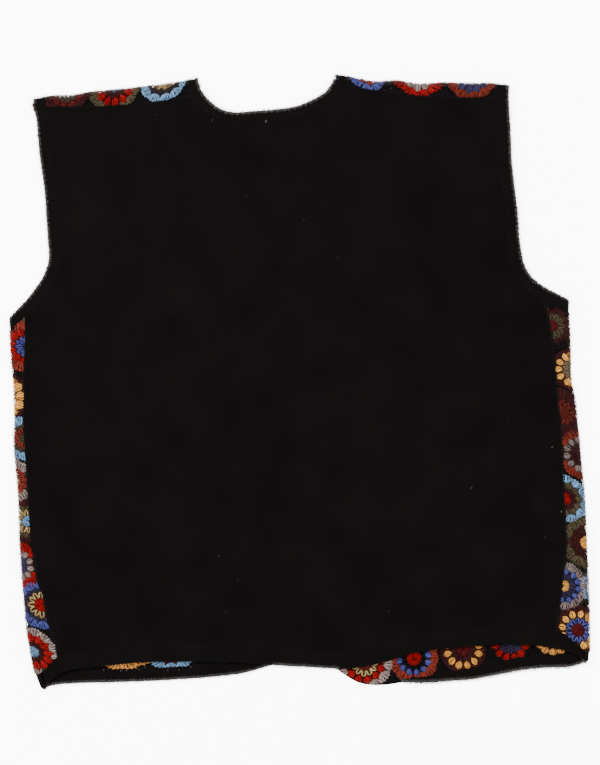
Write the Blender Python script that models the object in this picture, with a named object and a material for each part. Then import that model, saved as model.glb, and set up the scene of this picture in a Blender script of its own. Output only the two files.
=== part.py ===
"""A sleeveless cardigan with a machine-knit back and fronts of joined crochet rounds.

It lies face down on a flat surface, back upwards. The fronts are wider than the
back: they fold over at the shoulders and the sides, and their seams to the back
lie on top. The neck is at +Y, and the wearer's left is at -X.
All sizes below are in millimetres; the meshes are built in metres.
"""
import math
from collections import namedtuple

import bmesh
import bpy
import numpy as np
from mathutils import Vector
from mathutils.geometry import delaunay_2d_cdt

# Driving sizes
MM = 0.001
KNIT_WALL = 2.0
CROCHET_WALL = 2.4
SEAM_GAP = 0.35
FOLD_ROOM = 1.6
ARM_BAND = 11.0
NECK_BAND = 9.0
ARM_RIB = 4.8
NECK_RIB = 5.2
HEM_RIB = 5.2
RIB_RISE = 0.6
RIB_TIP = 0.7
HEM_TAIL = 1.5
LINE_STEP = 10.0
FOLD_STEPS = 6
PANEL_GRID = 22.0

# Heights of the wall's middle above the surface
FOLD_RADIUS = (CROCHET_WALL + FOLD_ROOM) / 2
UNDER = CROCHET_WALL / 2
OVER = UNDER + 2 * FOLD_RADIUS
SAGGED = 4.5
SAG_REACH = 55.0
OPEN_SAG = 1.6
OPEN_SAG_EDGE = 12.0
OPEN_SAG_REACH = 20.0
PUFF_RISE = 1.3
PUFF_REACH = 11.0

# Crochet rounds: the ring of petals that stands up on the cloth
PETALS = 12
PETAL_REACH = 3.0
PETAL_RISE = 0.9
LUMP_SIDES = 6

# Each list of lines is (x, y), from the shoulder fold down or from left to right.
ARM_EDGE = {
    "left": [(-241.6, 257), (-242.5, 250), (-239, 240), (-238, 229), (-236, 206), (-231.6, 174),
             (-230, 151), (-228.5, 129), (-227.5, 112), (-230, 102), (-234, 93), (-241, 83),
             (-248, 74), (-256, 65.5), (-263, 58.5)],
    "right": [(190, 269), (190, 252), (191.5, 229), (192.5, 202), (195, 179), (198, 154),
              (199.5, 133), (201.5, 116), (204.5, 105), (209, 97), (215, 91), (223.5, 85),
              (233.5, 80), (244, 74.5)],
}
SIDE_FOLD = {
    "left": [(-263.4, 61), (-263, 47), (-261.5, 20), (-259.5, -3), (-258.5, -35), (-259.5, -53),
             (-258, -71), (-255, -108), (-254, -144), (-252, -176), (-250, -199), (-248, -222.5),
             (-245.3, -240), (-243.6, -250), (-242, -258), (-240, -266), (-237.8, -272),
             (-234.8, -279)],
    "right": [(244.3, 76), (245, 51), (246, 29), (246.6, 1.5), (250.3, -17), (252.2, -35),
              (254, -53), (255.5, -71), (259, -108), (260.5, -144), (262.2, -181), (263.2, -217),
              (263.4, -244), (262.5, -254)],
}
SIDE_SEAM = {
    "left": [(-248, 68), (-249, 54), (-249, 32), (-250.5, 6), (-250, -12), (-250.5, -35),
             (-249, -62), (-246, -108), (-245, -126), (-244, -144), (-241, -162), (-238, -181),
             (-232.5, -196), (-229, -217), (-222.5, -235), (-220, -250), (-219, -256)],
    "right": [(220.5, 76), (222.5, 69), (226, 59), (230, 36), (232.5, 10), (234.5, -18),
              (237, -35), (238, -55), (239, -71), (240, -99), (241.5, -127), (242.5, -151),
              (240, -171), (237, -200), (235, -211), (233.5, -224), (232.5, -236)],
}
SHOULDER_FOLD = {
    "left": [(-244, 256), (-229, 259), (-207, 260), (-196, 262), (-174, 264.5), (-152, 266.5),
             (-131, 269), (-120, 270.5), (-109, 272), (-103.5, 273), (-98, 275.2), (-90, 275.5)],
    "right": [(31, 278.5), (38, 278.5), (44, 277), (55, 274.5), (66, 272.5), (77, 272.5),
              (88, 273.5), (99, 271.5), (110, 270), (131, 271.5), (153, 270.7), (175, 270.7),
              (193, 268.5)],
}
SHOULDER_SEAM = {
    "left": [(-247, 249.5), (-209, 249.3), (-168, 250), (-122, 255), (-84, 261)],
    "right": [(21, 267.5), (61, 265), (108, 259.5), (156, 257.5), (198, 257.5)],
}
NECK_EDGE = [(-92.4, 276), (-91.5, 270), (-89.6, 265), (-87, 260.5), (-83, 256), (-77.5, 251),
             (-70.5, 247), (-60.5, 244.5), (-45, 245.3), (-32, 246.3), (-10.5, 248.5), (1.5, 251.5),
             (12, 256), (20.5, 260.7), (26, 265.3), (29.5, 271), (31.5, 275), (32.8, 278.5)]
FRONT_EDGE = {
    "left": [(-92.4, 276), (-91.5, 265), (-87, 240), (-79, 203), (-65, 165), (-49, 131),
             (-34, 100), (-26, 74), (-24, 20), (-23, -71), (-20.5, -162), (-18.7, -242.5)],
    "right": [(32.8, 278.5), (31.4, 265), (29.6, 242), (24, 206), (13, 165), (0.5, 129),
              (-11.5, 101.5), (-18.7, 78), (-17.7, 47), (-11.5, -17), (0.5, -90), (15, -162),
              (31.4, -235), (34, -246)],
}
CORNER_ROUND = [(93.7, -273.6), (78, -275.9), (64, -275.9), (54, -274), (46.5, -270.2), (39.5, -265.6),
                (33, -261), (31, -256), (34.5, -251.6), (42.5, -250.5), (50, -250.5), (60, -250.5)]

# Hems, from the left: x and y of the free edge, then x and y of the seam above it.
BACK_HEM = [(-230.5, -276, -233, -264), (-225, -270, -227, -258), (-217, -264.5, -220, -251),
            (-205, -261, -206, -246.5), (-191, -259.5, -192, -244.5), (-171, -257.3, -171.5, -242),
            (-136, -254.6, -136, -239.2), (-90, -254.2, -90, -238.8), (-59, -255, -58, -239.8),
            (-34, -256.4, -33, -241.2), (-13, -258.2, -13, -243), (14, -259.5, 14, -244.5),
            (41, -260.7, 39.5, -245.7), (64, -257.5, 60.5, -243), (84, -252.5, 79, -238.5),
            (105, -246, 99.5, -232.5), (131, -242.5, 126, -228), (164, -240, 162.5, -224),
            (191.5, -239, 191.5, -221.5), (214.5, -239.5, 216, -222.5), (227, -241, 233.5, -226.5),
            (240, -244, 244.5, -233.5), (251.5, -247.5, 253.5, -240), (257.4, -252, 258.1, -244.8)]
FRONT_HEM = {
    "left": [(-233.5, -279, -238.3, -266), (-227, -276.8, -229, -264.8), (-218, -275.2, -219, -263.6),
             (-196, -274, -196, -262.6), (-163, -273.2, -163, -262), (-131, -272, -131, -260.6),
             (-98, -270, -98.3, -259), (-74, -268, -75, -257.4), (-54, -265.6, -55.5, -255),
             (-40.5, -262.3, -42.3, -251.8), (-29, -258.8, -30, -248.2), (-18.7, -255, -18.7, -245)],
    "right": [(94.5, -274.4, 94.5, -271.4), (114, -273.7, 113.3, -269), (137, -272, 136, -265),
              (157, -270.5, 156, -261), (171.5, -268, 170.6, -257.5), (186, -265.3, 185, -254.3),
              (202.5, -262, 201.6, -251), (223.4, -260, 223.4, -249.6), (241.6, -259.6, 241.6, -249),
              (252.5, -257.5, 252.5, -247.5), (259.4, -254.3, 260.1, -245.7)],
}

# Crochet rounds whose petals show on top: x, y of the middle, and the petals' ring.
Round = namedtuple("Round", "x y ring")
ROUNDS = {
    "left": [Round(-247, 32, 14), Round(-262, -12, 15), Round(-252.5, -49.5, 13),
             Round(-259, -88, 13), Round(-248, -127, 12), Round(-253, -167, 16),
             Round(-235, -202.5, 10.5), Round(-241.5, -245.5, 14)],
    "right": [Round(230.5, 50.5, 10), Round(246, 11.5, 14), Round(240, -27.5, 9.5),
              Round(252.5, -66.5, 15), Round(243.5, -107, 11), Round(259, -145, 15),
              Round(241.5, -185, 11), Round(253, -225, 15.5)],
    "left shoulder": [Round(-210, 261.5, 10), Round(-167.5, 265, 13), Round(-123, 267.5, 17)],
    "right shoulder": [Round(61, 275, 10), Round(108, 272.5, 13), Round(156.5, 269, 12)],
}

Turn = namedtuple("Turn", "sign side shoulder")
Station = namedtuple("Station", "edge seam up rib")


def smooth_line(rows, step=LINE_STEP, spans=12):
    """Rows spaced evenly along a smooth curve through the given rows."""
    knots = np.array(rows, dtype=float)
    knots = np.vstack([2 * knots[0] - knots[1], knots, 2 * knots[-1] - knots[-2]])
    dense = []
    for a, b, c, d in zip(knots, knots[1:], knots[2:], knots[3:]):
        for t in np.arange(spans) / spans:
            dense.append(0.5 * (2 * b + (c - a) * t + (2 * a - 5 * b + 4 * c - d) * t ** 2
                                + (3 * b - a - 3 * c + d) * t ** 3))
    dense.append(knots[-2])
    return even_rows(np.array(dense), step)


def even_rows(line, step):
    """The same line with rows at equal steps, measured along its first two columns."""
    run = np.concatenate([[0], np.cumsum(np.hypot(*np.diff(line[:, :2], axis=0).T))])
    count = max(2, round(run[-1] / step) + 1)
    at = np.linspace(0, run[-1], count)
    return np.column_stack([np.interp(at, run, column) for column in line.T])


def beside(line, width):
    """The line moved sideways, to the left of its own direction."""
    along = np.gradient(line, axis=0)
    along /= np.hypot(along[:, 0], along[:, 1])[:, None]
    return line + width * np.column_stack([-along[:, 1], along[:, 0]])


def past_seam(edge, seam):
    """The line beyond a band's seam where the next piece starts."""
    across = seam - edge
    return seam + across * (SEAM_GAP / np.hypot(across[:, 0], across[:, 1]))[:, None]


def value_at(line, at, known, wanted):
    """One coordinate of a line where its other coordinate has a given value."""
    order = np.argsort(line[:, known])
    return float(np.interp(at, line[order, known], line[order, wanted]))


def crossing(first, second):
    """Places on two lines, and the point, where the first meets the second."""
    for i, (a, b) in enumerate(zip(first, first[1:])):
        for j, (c, d) in enumerate(zip(second, second[1:])):
            r, s, gap = b - a, d - c, c - a
            cross = r[0] * s[1] - r[1] * s[0]
            if abs(cross) < 1e-9:
                continue
            t = (gap[0] * s[1] - gap[1] * s[0]) / cross
            u = (gap[0] * r[1] - gap[1] * r[0]) / cross
            if 0 <= t <= 1 and 0 <= u <= 1:
                return i + t, j + u, a + t * r
    raise ValueError(f"the seam lines from {first[0]} to {first[-1]} and from {second[0]} do not meet")


def closed_loop(lines):
    """The outline that lines make in turn, each cut where it crosses the next."""
    meets = [crossing(a, b) for a, b in zip(lines, lines[1:] + lines[:1])]
    outline = []
    for line, before, after in zip(lines, meets[-1:] + meets[:-1], meets):
        outline.append(before[2])
        for place, point in enumerate(line):
            if before[1] + 0.02 < place < after[0] - 0.02:
                outline.append(point)
    x, y = np.array(outline).T
    counterclockwise = np.dot(x, np.roll(y, -1)) > np.dot(y, np.roll(x, -1))
    return outline if counterclockwise else outline[::-1]


def turned(past):
    """Way on, rise and angle of a wall a given way past the start of its fold."""
    if past <= 0:
        return past, 0.0, 0.0
    angle = min(past / FOLD_RADIUS, math.pi)
    over = max(past - math.pi * FOLD_RADIUS, 0.0)
    return FOLD_RADIUS * math.sin(angle) - over, FOLD_RADIUS * (1 - math.cos(angle)), angle


def side_turn(turn, y):
    """x where the side's fold begins to rise, at the height y."""
    return value_at(turn.side, y, 1, 0) - turn.sign * (FOLD_RADIUS + UNDER)


def shoulder_turn(turn, x):
    """y where the shoulder's fold begins to rise, at the place x."""
    return value_at(turn.shoulder, x, 0, 1) - FOLD_RADIUS - UNDER


def folded(turn, u, v):
    """Middle of the front's wall, and its outward direction, for a point cut flat."""
    start = side_turn(turn, v)
    past_side = turn.sign * (u - start)
    past_shoulder = v - shoulder_turn(turn, u)
    if past_side > 0 and past_shoulder < -SAG_REACH:
        on, rise, angle = turned(past_side)
        return (Vector((start + turn.sign * on, v, UNDER + rise)),
                Vector((turn.sign * math.sin(angle), 0, -math.cos(angle))))
    on, rise, angle = turned(past_shoulder)
    return (Vector((u, v - past_shoulder + on, UNDER + rise)),
            Vector((0, math.sin(angle), -math.cos(angle))))


def cut_flat_side(turn, line):
    """Points on top of the side fold, as they lie on the front before it is folded."""
    flat = []
    for x, y in line:
        start = side_turn(turn, y)
        flat.append((2 * start - x + turn.sign * math.pi * FOLD_RADIUS, y))
    return np.array(flat)


def cut_flat_shoulder(turn, line):
    """Points on top of the shoulder fold, as they lie on the front before it is folded."""
    return np.array([(x, 2 * shoulder_turn(turn, x) - y + math.pi * FOLD_RADIUS) for x, y in line])


def nearest(point, lines):
    """Distance from a point to the nearest point of some lines."""
    return min(float(np.hypot(line[:, 0] - point[0], line[:, 1] - point[1]).min()) for line in lines)


def eased(share):
    """A smooth step from 0 to 1."""
    share = min(max(share, 0.0), 1.0)
    return share * share * (3 - 2 * share)


def between_fronts(x, y):
    """How far a point lies inside the opening between the two fronts."""
    left = value_at(EDGE_LINE["left"], y, 1, 0)
    right = value_at(EDGE_LINE["right"], y, 1, 0)
    if not left < x < right:
        return 0.0
    return min(x - left, right - x)


def top_height(x, y):
    """Height of the back's middle: high beside the folds, sagged over the fronts."""
    point = (x, y)
    height = SAGGED + (OVER - SAGGED) * (1 - eased(nearest(point, HELD_UP) / SAG_REACH))
    height -= OPEN_SAG * eased((between_fronts(x, y) - OPEN_SAG_EDGE) / OPEN_SAG_REACH)
    puff = math.exp(-(nearest(point, [PUFF_LINE]) / PUFF_REACH) ** 2)
    return height + PUFF_RISE * puff


def laid(x, y):
    """A point of the back's wall and its upward direction."""
    return Vector((x, y, top_height(x, y))), Vector((0, 0, 1))


def inside(point, outline):
    """Whether a point lies inside a closed outline."""
    hit = False
    for (x0, y0), (x1, y1) in zip(outline, outline[1:] + outline[:1]):
        if (y0 > point[1]) != (y1 > point[1]):
            if point[0] < x0 + (x1 - x0) * (point[1] - y0) / (y1 - y0):
                hit = not hit
    return hit


def clear_points(points, outline, margin):
    """The points that lie inside an outline by more than a margin."""
    rim = even_rows(np.array(outline + outline[:1]), margin / 2)
    return [p for p in points if inside(p, outline) and nearest(p, [rim]) > margin]


def split_at_folds(outline, place):
    """An outline with points added wherever its wall runs round a fold."""
    def bends(start, end, depth=0):
        angle = place(*start)[1].angle(place(*end)[1])
        if angle < math.radians(32) or depth > 6:
            return []
        middle = (start + end) / 2
        return bends(start, middle, depth + 1) + [middle] + bends(middle, end, depth + 1)
    points = []
    for start, end in zip(outline, outline[1:] + outline[:1]):
        points += [start] + bends(start, end)
    return points


def colour_material(name, colour, roughness):
    """A plain yarn finish."""
    material = bpy.data.materials.new(name)
    material.use_nodes = True
    shader = material.node_tree.nodes["Principled BSDF"]
    shader.inputs["Base Color"].default_value = (*colour, 1)
    shader.inputs["Roughness"].default_value = roughness
    shader.inputs["Metallic"].default_value = 0.0
    return material


def make_object(name, bm, material):
    """One closed, smooth-shaded object from a mesh in millimetres."""
    bmesh.ops.recalc_face_normals(bm, faces=bm.faces)
    bmesh.ops.scale(bm, vec=Vector((MM, MM, MM)), verts=bm.verts)
    mesh = bpy.data.meshes.new(name)
    bm.to_mesh(mesh)
    bm.free()
    mesh.shade_smooth()
    mesh.set_sharp_from_angle(angle=math.radians(40))
    mesh.materials.append(material)
    bpy.context.collection.objects.link(bpy.data.objects.new(name, mesh))


def wall(name, outline, upper, lower, place, thick, material):
    """A cloth wall cut to an outline. Upper points are (u, v, rise), lower ones (u, v)."""
    bm = bmesh.new()
    rim = len(outline)
    ring = [Vector(point[:2]) for point in outline]
    edge = [tuple(point[:2]) for point in outline]
    layers = []
    for side, extra in ((0.5, upper), (-0.5, [(*p, 0.0) for p in lower])):
        spots = ring + [Vector(p[:2]) for p in extra]
        rises = [0.0] * rim + [p[2] for p in extra]
        flat, _, faces, kept, _, _ = delaunay_2d_cdt(spots, [], [list(range(rim))], 1, 1e-6, True)
        verts = []
        for spot, sources in zip(flat, kept):
            middle, out = place(spot.x, spot.y)
            verts.append(bm.verts.new(middle + out * (side * thick + rises[sources[0]])))
        for face in faces:
            if inside(sum((flat[i] for i in face), Vector((0, 0))) / len(face), edge):
                bm.faces.new([verts[i] for i in face])
        layers.append({sources[0]: vert for vert, sources in zip(verts, kept)})
    for i in range(rim):
        j = (i + 1) % rim
        bm.faces.new([layers[0][i], layers[0][j], layers[1][j], layers[1][i]])
    make_object(name, bm, material)


# Section of a band: share of its width from the free edge, height in walls, rib's share of rise, of tip.
BAND_SECTION = [(0.0, -0.5, 0.0, 0.3), (0.0, 0.1, 0.0, 1.0), (0.14, 0.5, 0.7, 0.0),
                (0.86, 0.5, 1.0, 0.0), (1.0, 0.5, 0.0, 0.0), (1.0, -0.5, 0.0, 0.0)]


def band(name, stations, closed, material, thick=CROCHET_WALL):
    """A knitted edging swept along its stations, with ribs where they are set."""
    bm = bmesh.new()
    rings = []
    for station in stations:
        inward = station.seam - station.edge
        ring = []
        for share, height, rise, tip in BAND_SECTION:
            point = station.edge + inward * share - inward.normalized() * (tip * RIB_TIP * station.rib)
            ring.append(bm.verts.new(point + station.up * (height * thick + rise * RIB_RISE * station.rib)))
        rings.append(ring)
    pairs = list(zip(rings, rings[1:] + rings[:1]))
    for ring, following in pairs if closed else pairs[:-1]:
        for i in range(len(ring)):
            j = (i + 1) % len(ring)
            bm.faces.new([ring[i], ring[j], following[j], following[i]])
    if not closed:
        bm.faces.new(rings[0])
        bm.faces.new(rings[-1])
    make_object(name, bm, material)


def ribbed(edge, seam, place, pitch, flip=1):
    """Stations along a band that is ribbed at a pitch, on the side that its place turns up."""
    fine = even_rows(np.hstack([edge, seam]), pitch / 2)
    stations = []
    for i, (x0, y0, x1, y1) in enumerate(fine):
        outer, up = place(x0, y0)
        stations.append(Station(outer, place(x1, y1)[0], up * flip, i % 2))
    return stations


def plain(edge, seam, place, flip=1):
    """Stations along a band without ribs, at the points of its lines."""
    return [Station(place(*e)[0], place(*s)[0], place(*e)[1] * flip, 0) for e, s in zip(edge, seam)]


def round_fold(turn, edge, seam, side, flip=1):
    """Stations that carry a band over the front's fold, from the lower layer up."""
    stations = []
    for step in range(1, FOLD_STEPS):
        past = math.pi * FOLD_RADIUS * step / FOLD_STEPS
        places = []
        for x, y in (edge, seam):
            if side:
                places.append(folded(turn, side_turn(turn, y) + turn.sign * past, y))
            else:
                places.append(folded(turn, x, shoulder_turn(turn, x) + past))
        stations.append(Station(places[0][0], places[1][0], places[0][1] * flip, 0))
    return stations


for old in list(bpy.data.objects):
    bpy.data.objects.remove(old, do_unlink=True)

black_yarn = colour_material("black_yarn", (0.010, 0.008, 0.008), 0.85)
band_yarn = colour_material("band_yarn", (0.013, 0.010, 0.010), 0.85)
motif_yarn = colour_material("motif_yarn", (0.20, 0.03, 0.02), 0.8)

# Lines shared by the pieces
TURNS = {name: Turn(sign, smooth_line(SIDE_FOLD[name]), smooth_line(SHOULDER_FOLD[name]))
         for name, sign in (("left", -1), ("right", 1))}
SIDE_SEAM_LINE = {name: smooth_line(rows) for name, rows in SIDE_SEAM.items()}
SHOULDER_SEAM_LINE = {name: smooth_line(rows) for name, rows in SHOULDER_SEAM.items()}
EDGE_LINE = {name: smooth_line(rows) for name, rows in FRONT_EDGE.items()}
BACK_HEM_ROWS = smooth_line(BACK_HEM)
PUFF_LINE = BACK_HEM_ROWS[BACK_HEM_ROWS[:, 0] > 95][:-3, 2:] + (0, 5)
HELD_UP = [line for lines in (SIDE_SEAM_LINE, SHOULDER_SEAM_LINE) for line in lines.values()]


def arm_lines(name):
    """Free edge and seam of an armhole band, from the shoulder's fold to the underarm's."""
    turn = TURNS[name]
    edge = smooth_line(ARM_EDGE[name], LINE_STEP * 0.8)
    seam = beside(edge, -turn.sign * ARM_BAND)
    for place, blend in zip(range(-4, 0), (0.25, 0.5, 0.75, 1.0)):
        drop = edge[place] + (0, -ARM_BAND)
        seam[place] = seam[place] * (1 - blend) + drop * blend
    for line in (edge, seam):
        line[0] = (line[0, 0], shoulder_turn(turn, line[0, 0]))
    seam[-1] = (side_turn(turn, seam[-1, 1]), seam[-1, 1])
    before, after = (turn.sign * (x - side_turn(turn, y)) for x, y in edge[-2:])
    edge[-1] = edge[-2] + (edge[-1] - edge[-2]) * before / (before - after)
    return edge, seam


ARM_LINES = {name: arm_lines(name) for name in TURNS}


def build_arm_band(name):
    """An armhole's band: ribbed on the back, plain below, one ring over both folds."""
    turn = TURNS[name]
    edge, seam = ARM_LINES[name]
    lower = [line[::-1] for line in (edge, seam)]
    stations = ribbed(edge, seam, laid, ARM_RIB)
    stations += round_fold(turn, edge[-1], seam[-1], side=True)[::-1]
    stations += plain(*lower, lambda x, y: (Vector((x, y, UNDER)), Vector((0, 0, -1))))
    stations += round_fold(turn, edge[0], seam[0], side=False)
    band(f"armhole_band_{name}", stations, True, band_yarn)


def lying(x, y):
    """A point of a wall that lies on the surface, outside downwards."""
    return Vector((x, y, UNDER)), Vector((0, 0, -1))


def neck_lines():
    """Free edge and seam of the back neck, and of both front edges, folds left out."""
    back = smooth_line(NECK_EDGE, LINE_STEP * 0.8)
    lines = {"back": (back, beside(back, -NECK_BAND))}
    for name, turn in TURNS.items():
        edge = smooth_line(FRONT_EDGE[name])
        lines[name] = (edge, beside(edge, turn.sign * NECK_BAND))
    for place, name in ((0, "left"), (-1, "right")):
        turn = TURNS[name]
        away = turn.sign * NECK_BAND
        top = back[place, 0]
        for line, x in zip(lines["back"], (top, top + away)):
            line[place] = (x, shoulder_turn(turn, x))
        for line, x in zip(lines[name], (top, top + away)):
            line[0] = (x, shoulder_turn(turn, x))
    return lines


NECK_LINES = neck_lines()


def build_neck_band():
    """One band up the left front, round the back neck and down the right front."""
    left_edge, left_seam = NECK_LINES["left"]
    edge, seam = NECK_LINES["back"]
    stations = plain(left_edge[::-1], left_seam[::-1], lying)
    stations += round_fold(TURNS["left"], left_edge[0], left_seam[0], side=False)
    stations += ribbed(edge, seam, laid, NECK_RIB)
    stations += round_fold(TURNS["right"], edge[-1], seam[-1], side=False)[::-1]
    stations += plain(*NECK_LINES["right"], lying)
    band("neck_band", stations, False, band_yarn)


def front_hem_lines(name):
    """Free edge and seam of a front's hem, ending where the side fold begins."""
    rows = smooth_line(FRONT_HEM[name])
    end = 0 if name == "left" else -1
    for column in (0, 2):
        rows[end, column] = side_turn(TURNS[name], rows[end, column + 1])
    return rows[:, :2], rows[:, 2:]


FRONT_HEM_LINES = {name: front_hem_lines(name) for name in TURNS}


def build_front_hem(name):
    """A front's ribbed hem, seen from inside, with its end folded over on top."""
    turn = TURNS[name]
    edge, seam = FRONT_HEM_LINES[name]
    stations = ribbed(edge, seam, lying, HEM_RIB, flip=-1)
    end = 0 if name == "left" else -1
    corner = round_fold(turn, edge[end], seam[end], side=True, flip=-1)
    tail = math.pi * FOLD_RADIUS + HEM_TAIL
    tips = [folded(turn, side_turn(turn, y) + turn.sign * tail, y) for _, y in (edge[end], seam[end])]
    corner.append(Station(tips[0][0], tips[1][0], -tips[0][1], 0))
    stations = corner[::-1] + stations if name == "left" else stations + corner
    band(f"hem_band_front_{name}", stations, False, band_yarn)


def build_back_hem():
    """The back's ribbed hem, which arches up over the right front."""
    band("hem_band_back", ribbed(BACK_HEM_ROWS[:, :2], BACK_HEM_ROWS[:, 2:], laid, HEM_RIB),
         False, band_yarn)


def build_back():
    """The knitted back, cut to its seams, sagging between the folds that hold it up."""
    half = SEAM_GAP / 2
    arm = {name: past_seam(*lines) for name, lines in ARM_LINES.items()}
    lines = [SIDE_SEAM_LINE["left"][::-1] + (half, 0),
             arm["left"][::-1],
             SHOULDER_SEAM_LINE["left"] - (0, half),
             past_seam(*NECK_LINES["back"]),
             SHOULDER_SEAM_LINE["right"] - (0, half),
             arm["right"],
             SIDE_SEAM_LINE["right"] - (half, 0),
             past_seam(BACK_HEM_ROWS[:, :2], BACK_HEM_ROWS[:, 2:])[::-1]]
    outline = closed_loop(lines)
    fine, coarse = [], []
    for row, y in enumerate(np.arange(-250, 270, PANEL_GRID)):
        for column, x in enumerate(np.arange(-262 + PANEL_GRID / 2 * (row % 2), 262, PANEL_GRID)):
            fine.append((x, y))
            if row % 2 == 0 and column % 2 == 0:
                coarse.append((x, y))
    upper = [(*p, 0.0) for p in clear_points(fine, outline, PANEL_GRID * 0.35)]
    lower = clear_points(coarse, outline, PANEL_GRID * 0.35)
    wall("back_panel", outline, upper, lower, laid, KNIT_WALL, black_yarn)


def build_front(name):
    """A front of crochet rounds, folded over the side and the shoulder."""
    turn = TURNS[name]
    half = SEAM_GAP / 2
    fold_length = math.pi * FOLD_RADIUS

    def flat_side(line):
        return cut_flat_side(turn, line)

    arm_top = past_seam(*ARM_LINES[name])
    below_turn = arm_top[-1]
    shoulder_end = arm_top[0]
    arm_line = np.vstack([flat_side(arm_top[arm_top[:, 1] < arm_top[-1, 1] + 40])[:-1],
                          [below_turn + (turn.sign * fold_length, 0)],
                          arm_top[::-1],
                          [shoulder_end + (0, fold_length)],
                          cut_flat_shoulder(turn, [shoulder_end - (0, 14)])])
    neck_seam = past_seam(*NECK_LINES[name])
    neck_top = past_seam(*NECK_LINES["back"])
    top_part = neck_top[:4] if name == "left" else neck_top[:-5:-1]
    neck_line = np.vstack([cut_flat_shoulder(turn, top_part[::-1]), neck_seam,
                           neck_seam[-1:] - (0, PANEL_GRID)])
    hem_seam = past_seam(*FRONT_HEM_LINES[name])
    top_hem = past_seam(BACK_HEM_ROWS[:, :2], BACK_HEM_ROWS[:, 2:])
    if name == "left":
        corner, low_hem, on_top = hem_seam[0], hem_seam[::-1], top_hem[:6]
    else:
        corner, low_hem, on_top = hem_seam[-1], hem_seam, top_hem[:-7:-1]
        low_hem = np.vstack([CORNER_LINE[::-1], hem_seam[:1] - (2 * SEAM_GAP, 0), hem_seam[1:]])
    hem_line = np.vstack([low_hem, [corner + (turn.sign * fold_length, 0)], flat_side(on_top)])
    seam_line = flat_side(SIDE_SEAM_LINE[name][::-1] + (turn.sign * half, 0))
    shoulder = cut_flat_shoulder(turn, SHOULDER_SEAM_LINE[name] + (0, half))
    if name == "right":
        shoulder = shoulder[::-1]
    lines = [hem_line, seam_line, arm_line, shoulder, neck_line]

    def place(u, v):
        return folded(turn, u, v)

    outline = split_at_folds(closed_loop(lines), place)
    upper = []
    for step in range(FOLD_STEPS + 1):
        past = fold_length * step / FOLD_STEPS
        for y in np.arange(-262, 62, LINE_STEP):
            upper.append((side_turn(turn, y) + turn.sign * past, y, 0.0))
        for x in np.arange(-240, 240, LINE_STEP):
            upper.append((x, shoulder_turn(turn, x) + past, 0.0))
    keep = {tuple(p) for p in clear_points([p[:2] for p in upper], outline, 0.8)}
    lower = [p[:2] for p in upper if p[:2] in keep]
    upper = [p for p in upper if p[:2] in keep]
    upper += petals(turn, ROUNDS[name], outline, cut_flat_side)
    upper += petals(turn, ROUNDS[f"{name} shoulder"], outline, cut_flat_shoulder)
    wall(f"front_{name}", outline, upper, lower, place, CROCHET_WALL, motif_yarn)


def petals(turn, rounds, outline, flatten):
    """Raised petals of the rounds, where they fit on the part that lies on top."""
    points = []
    for middle in rounds:
        for petal in range(PETALS):
            angle = math.tau * (petal + 0.5) / PETALS
            spot = (middle.x + middle.ring * math.cos(angle), middle.y + middle.ring * math.sin(angle))
            if flatten is cut_flat_side:
                over = -turn.sign * (spot[0] - side_turn(turn, spot[1]))
            else:
                over = shoulder_turn(turn, spot[0]) - spot[1]
            flat = flatten(turn, [spot])[0]
            if over < PETAL_REACH + 0.3 or not clear_points([flat], outline, PETAL_REACH + 0.3):
                continue
            points.append((*flat, PETAL_RISE))
            for side in range(LUMP_SIDES):
                lean = math.tau * side / LUMP_SIDES
                points.append((flat[0] + PETAL_REACH * math.cos(lean),
                               flat[1] + PETAL_REACH * math.sin(lean), 0.0))
    return points


def centre_on_box():
    """Moves every piece so that the whole box is centred over the origin."""
    spots = np.array([v.co for obj in bpy.data.objects for v in obj.data.vertices])
    middle = (spots.min(axis=0) + spots.max(axis=0)) / 2
    for obj in bpy.data.objects:
        for vertex in obj.data.vertices:
            vertex.co -= Vector((middle[0], middle[1], 0))


CORNER_LINE = smooth_line(CORNER_ROUND)

build_back()
for side_name in TURNS:
    build_front(side_name)
    build_arm_band(side_name)
    build_front_hem(side_name)
build_neck_band()
build_back_hem()
centre_on_box()
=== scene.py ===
import math
from collections import namedtuple

import bpy
import numpy as np
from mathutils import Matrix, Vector
from mathutils.geometry import delaunay_2d_cdt


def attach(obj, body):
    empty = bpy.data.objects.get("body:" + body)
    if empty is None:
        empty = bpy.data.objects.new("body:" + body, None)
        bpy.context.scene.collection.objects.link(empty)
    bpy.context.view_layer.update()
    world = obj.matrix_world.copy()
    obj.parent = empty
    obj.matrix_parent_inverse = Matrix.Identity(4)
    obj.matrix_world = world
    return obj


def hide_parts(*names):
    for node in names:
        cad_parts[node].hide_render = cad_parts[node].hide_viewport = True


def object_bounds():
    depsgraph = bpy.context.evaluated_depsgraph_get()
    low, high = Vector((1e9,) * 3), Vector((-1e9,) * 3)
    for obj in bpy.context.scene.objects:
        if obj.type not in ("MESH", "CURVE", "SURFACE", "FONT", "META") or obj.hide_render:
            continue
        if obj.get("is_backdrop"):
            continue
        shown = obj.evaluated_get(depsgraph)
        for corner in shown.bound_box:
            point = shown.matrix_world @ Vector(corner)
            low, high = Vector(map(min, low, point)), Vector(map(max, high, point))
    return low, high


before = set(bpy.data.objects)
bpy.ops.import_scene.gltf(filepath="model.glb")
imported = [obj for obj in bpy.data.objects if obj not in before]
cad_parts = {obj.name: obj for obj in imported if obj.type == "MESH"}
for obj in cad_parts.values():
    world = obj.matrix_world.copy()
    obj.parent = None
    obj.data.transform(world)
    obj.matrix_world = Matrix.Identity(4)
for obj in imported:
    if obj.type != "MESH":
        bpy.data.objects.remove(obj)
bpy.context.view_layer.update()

# Where it lies
# A sleeveless cardigan lies face down on pale paper, back upwards and neck to the top.
# It is seen from straight above, under large soft lights. Sizes in this file are in millimetres.
MM = 0.001
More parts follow.
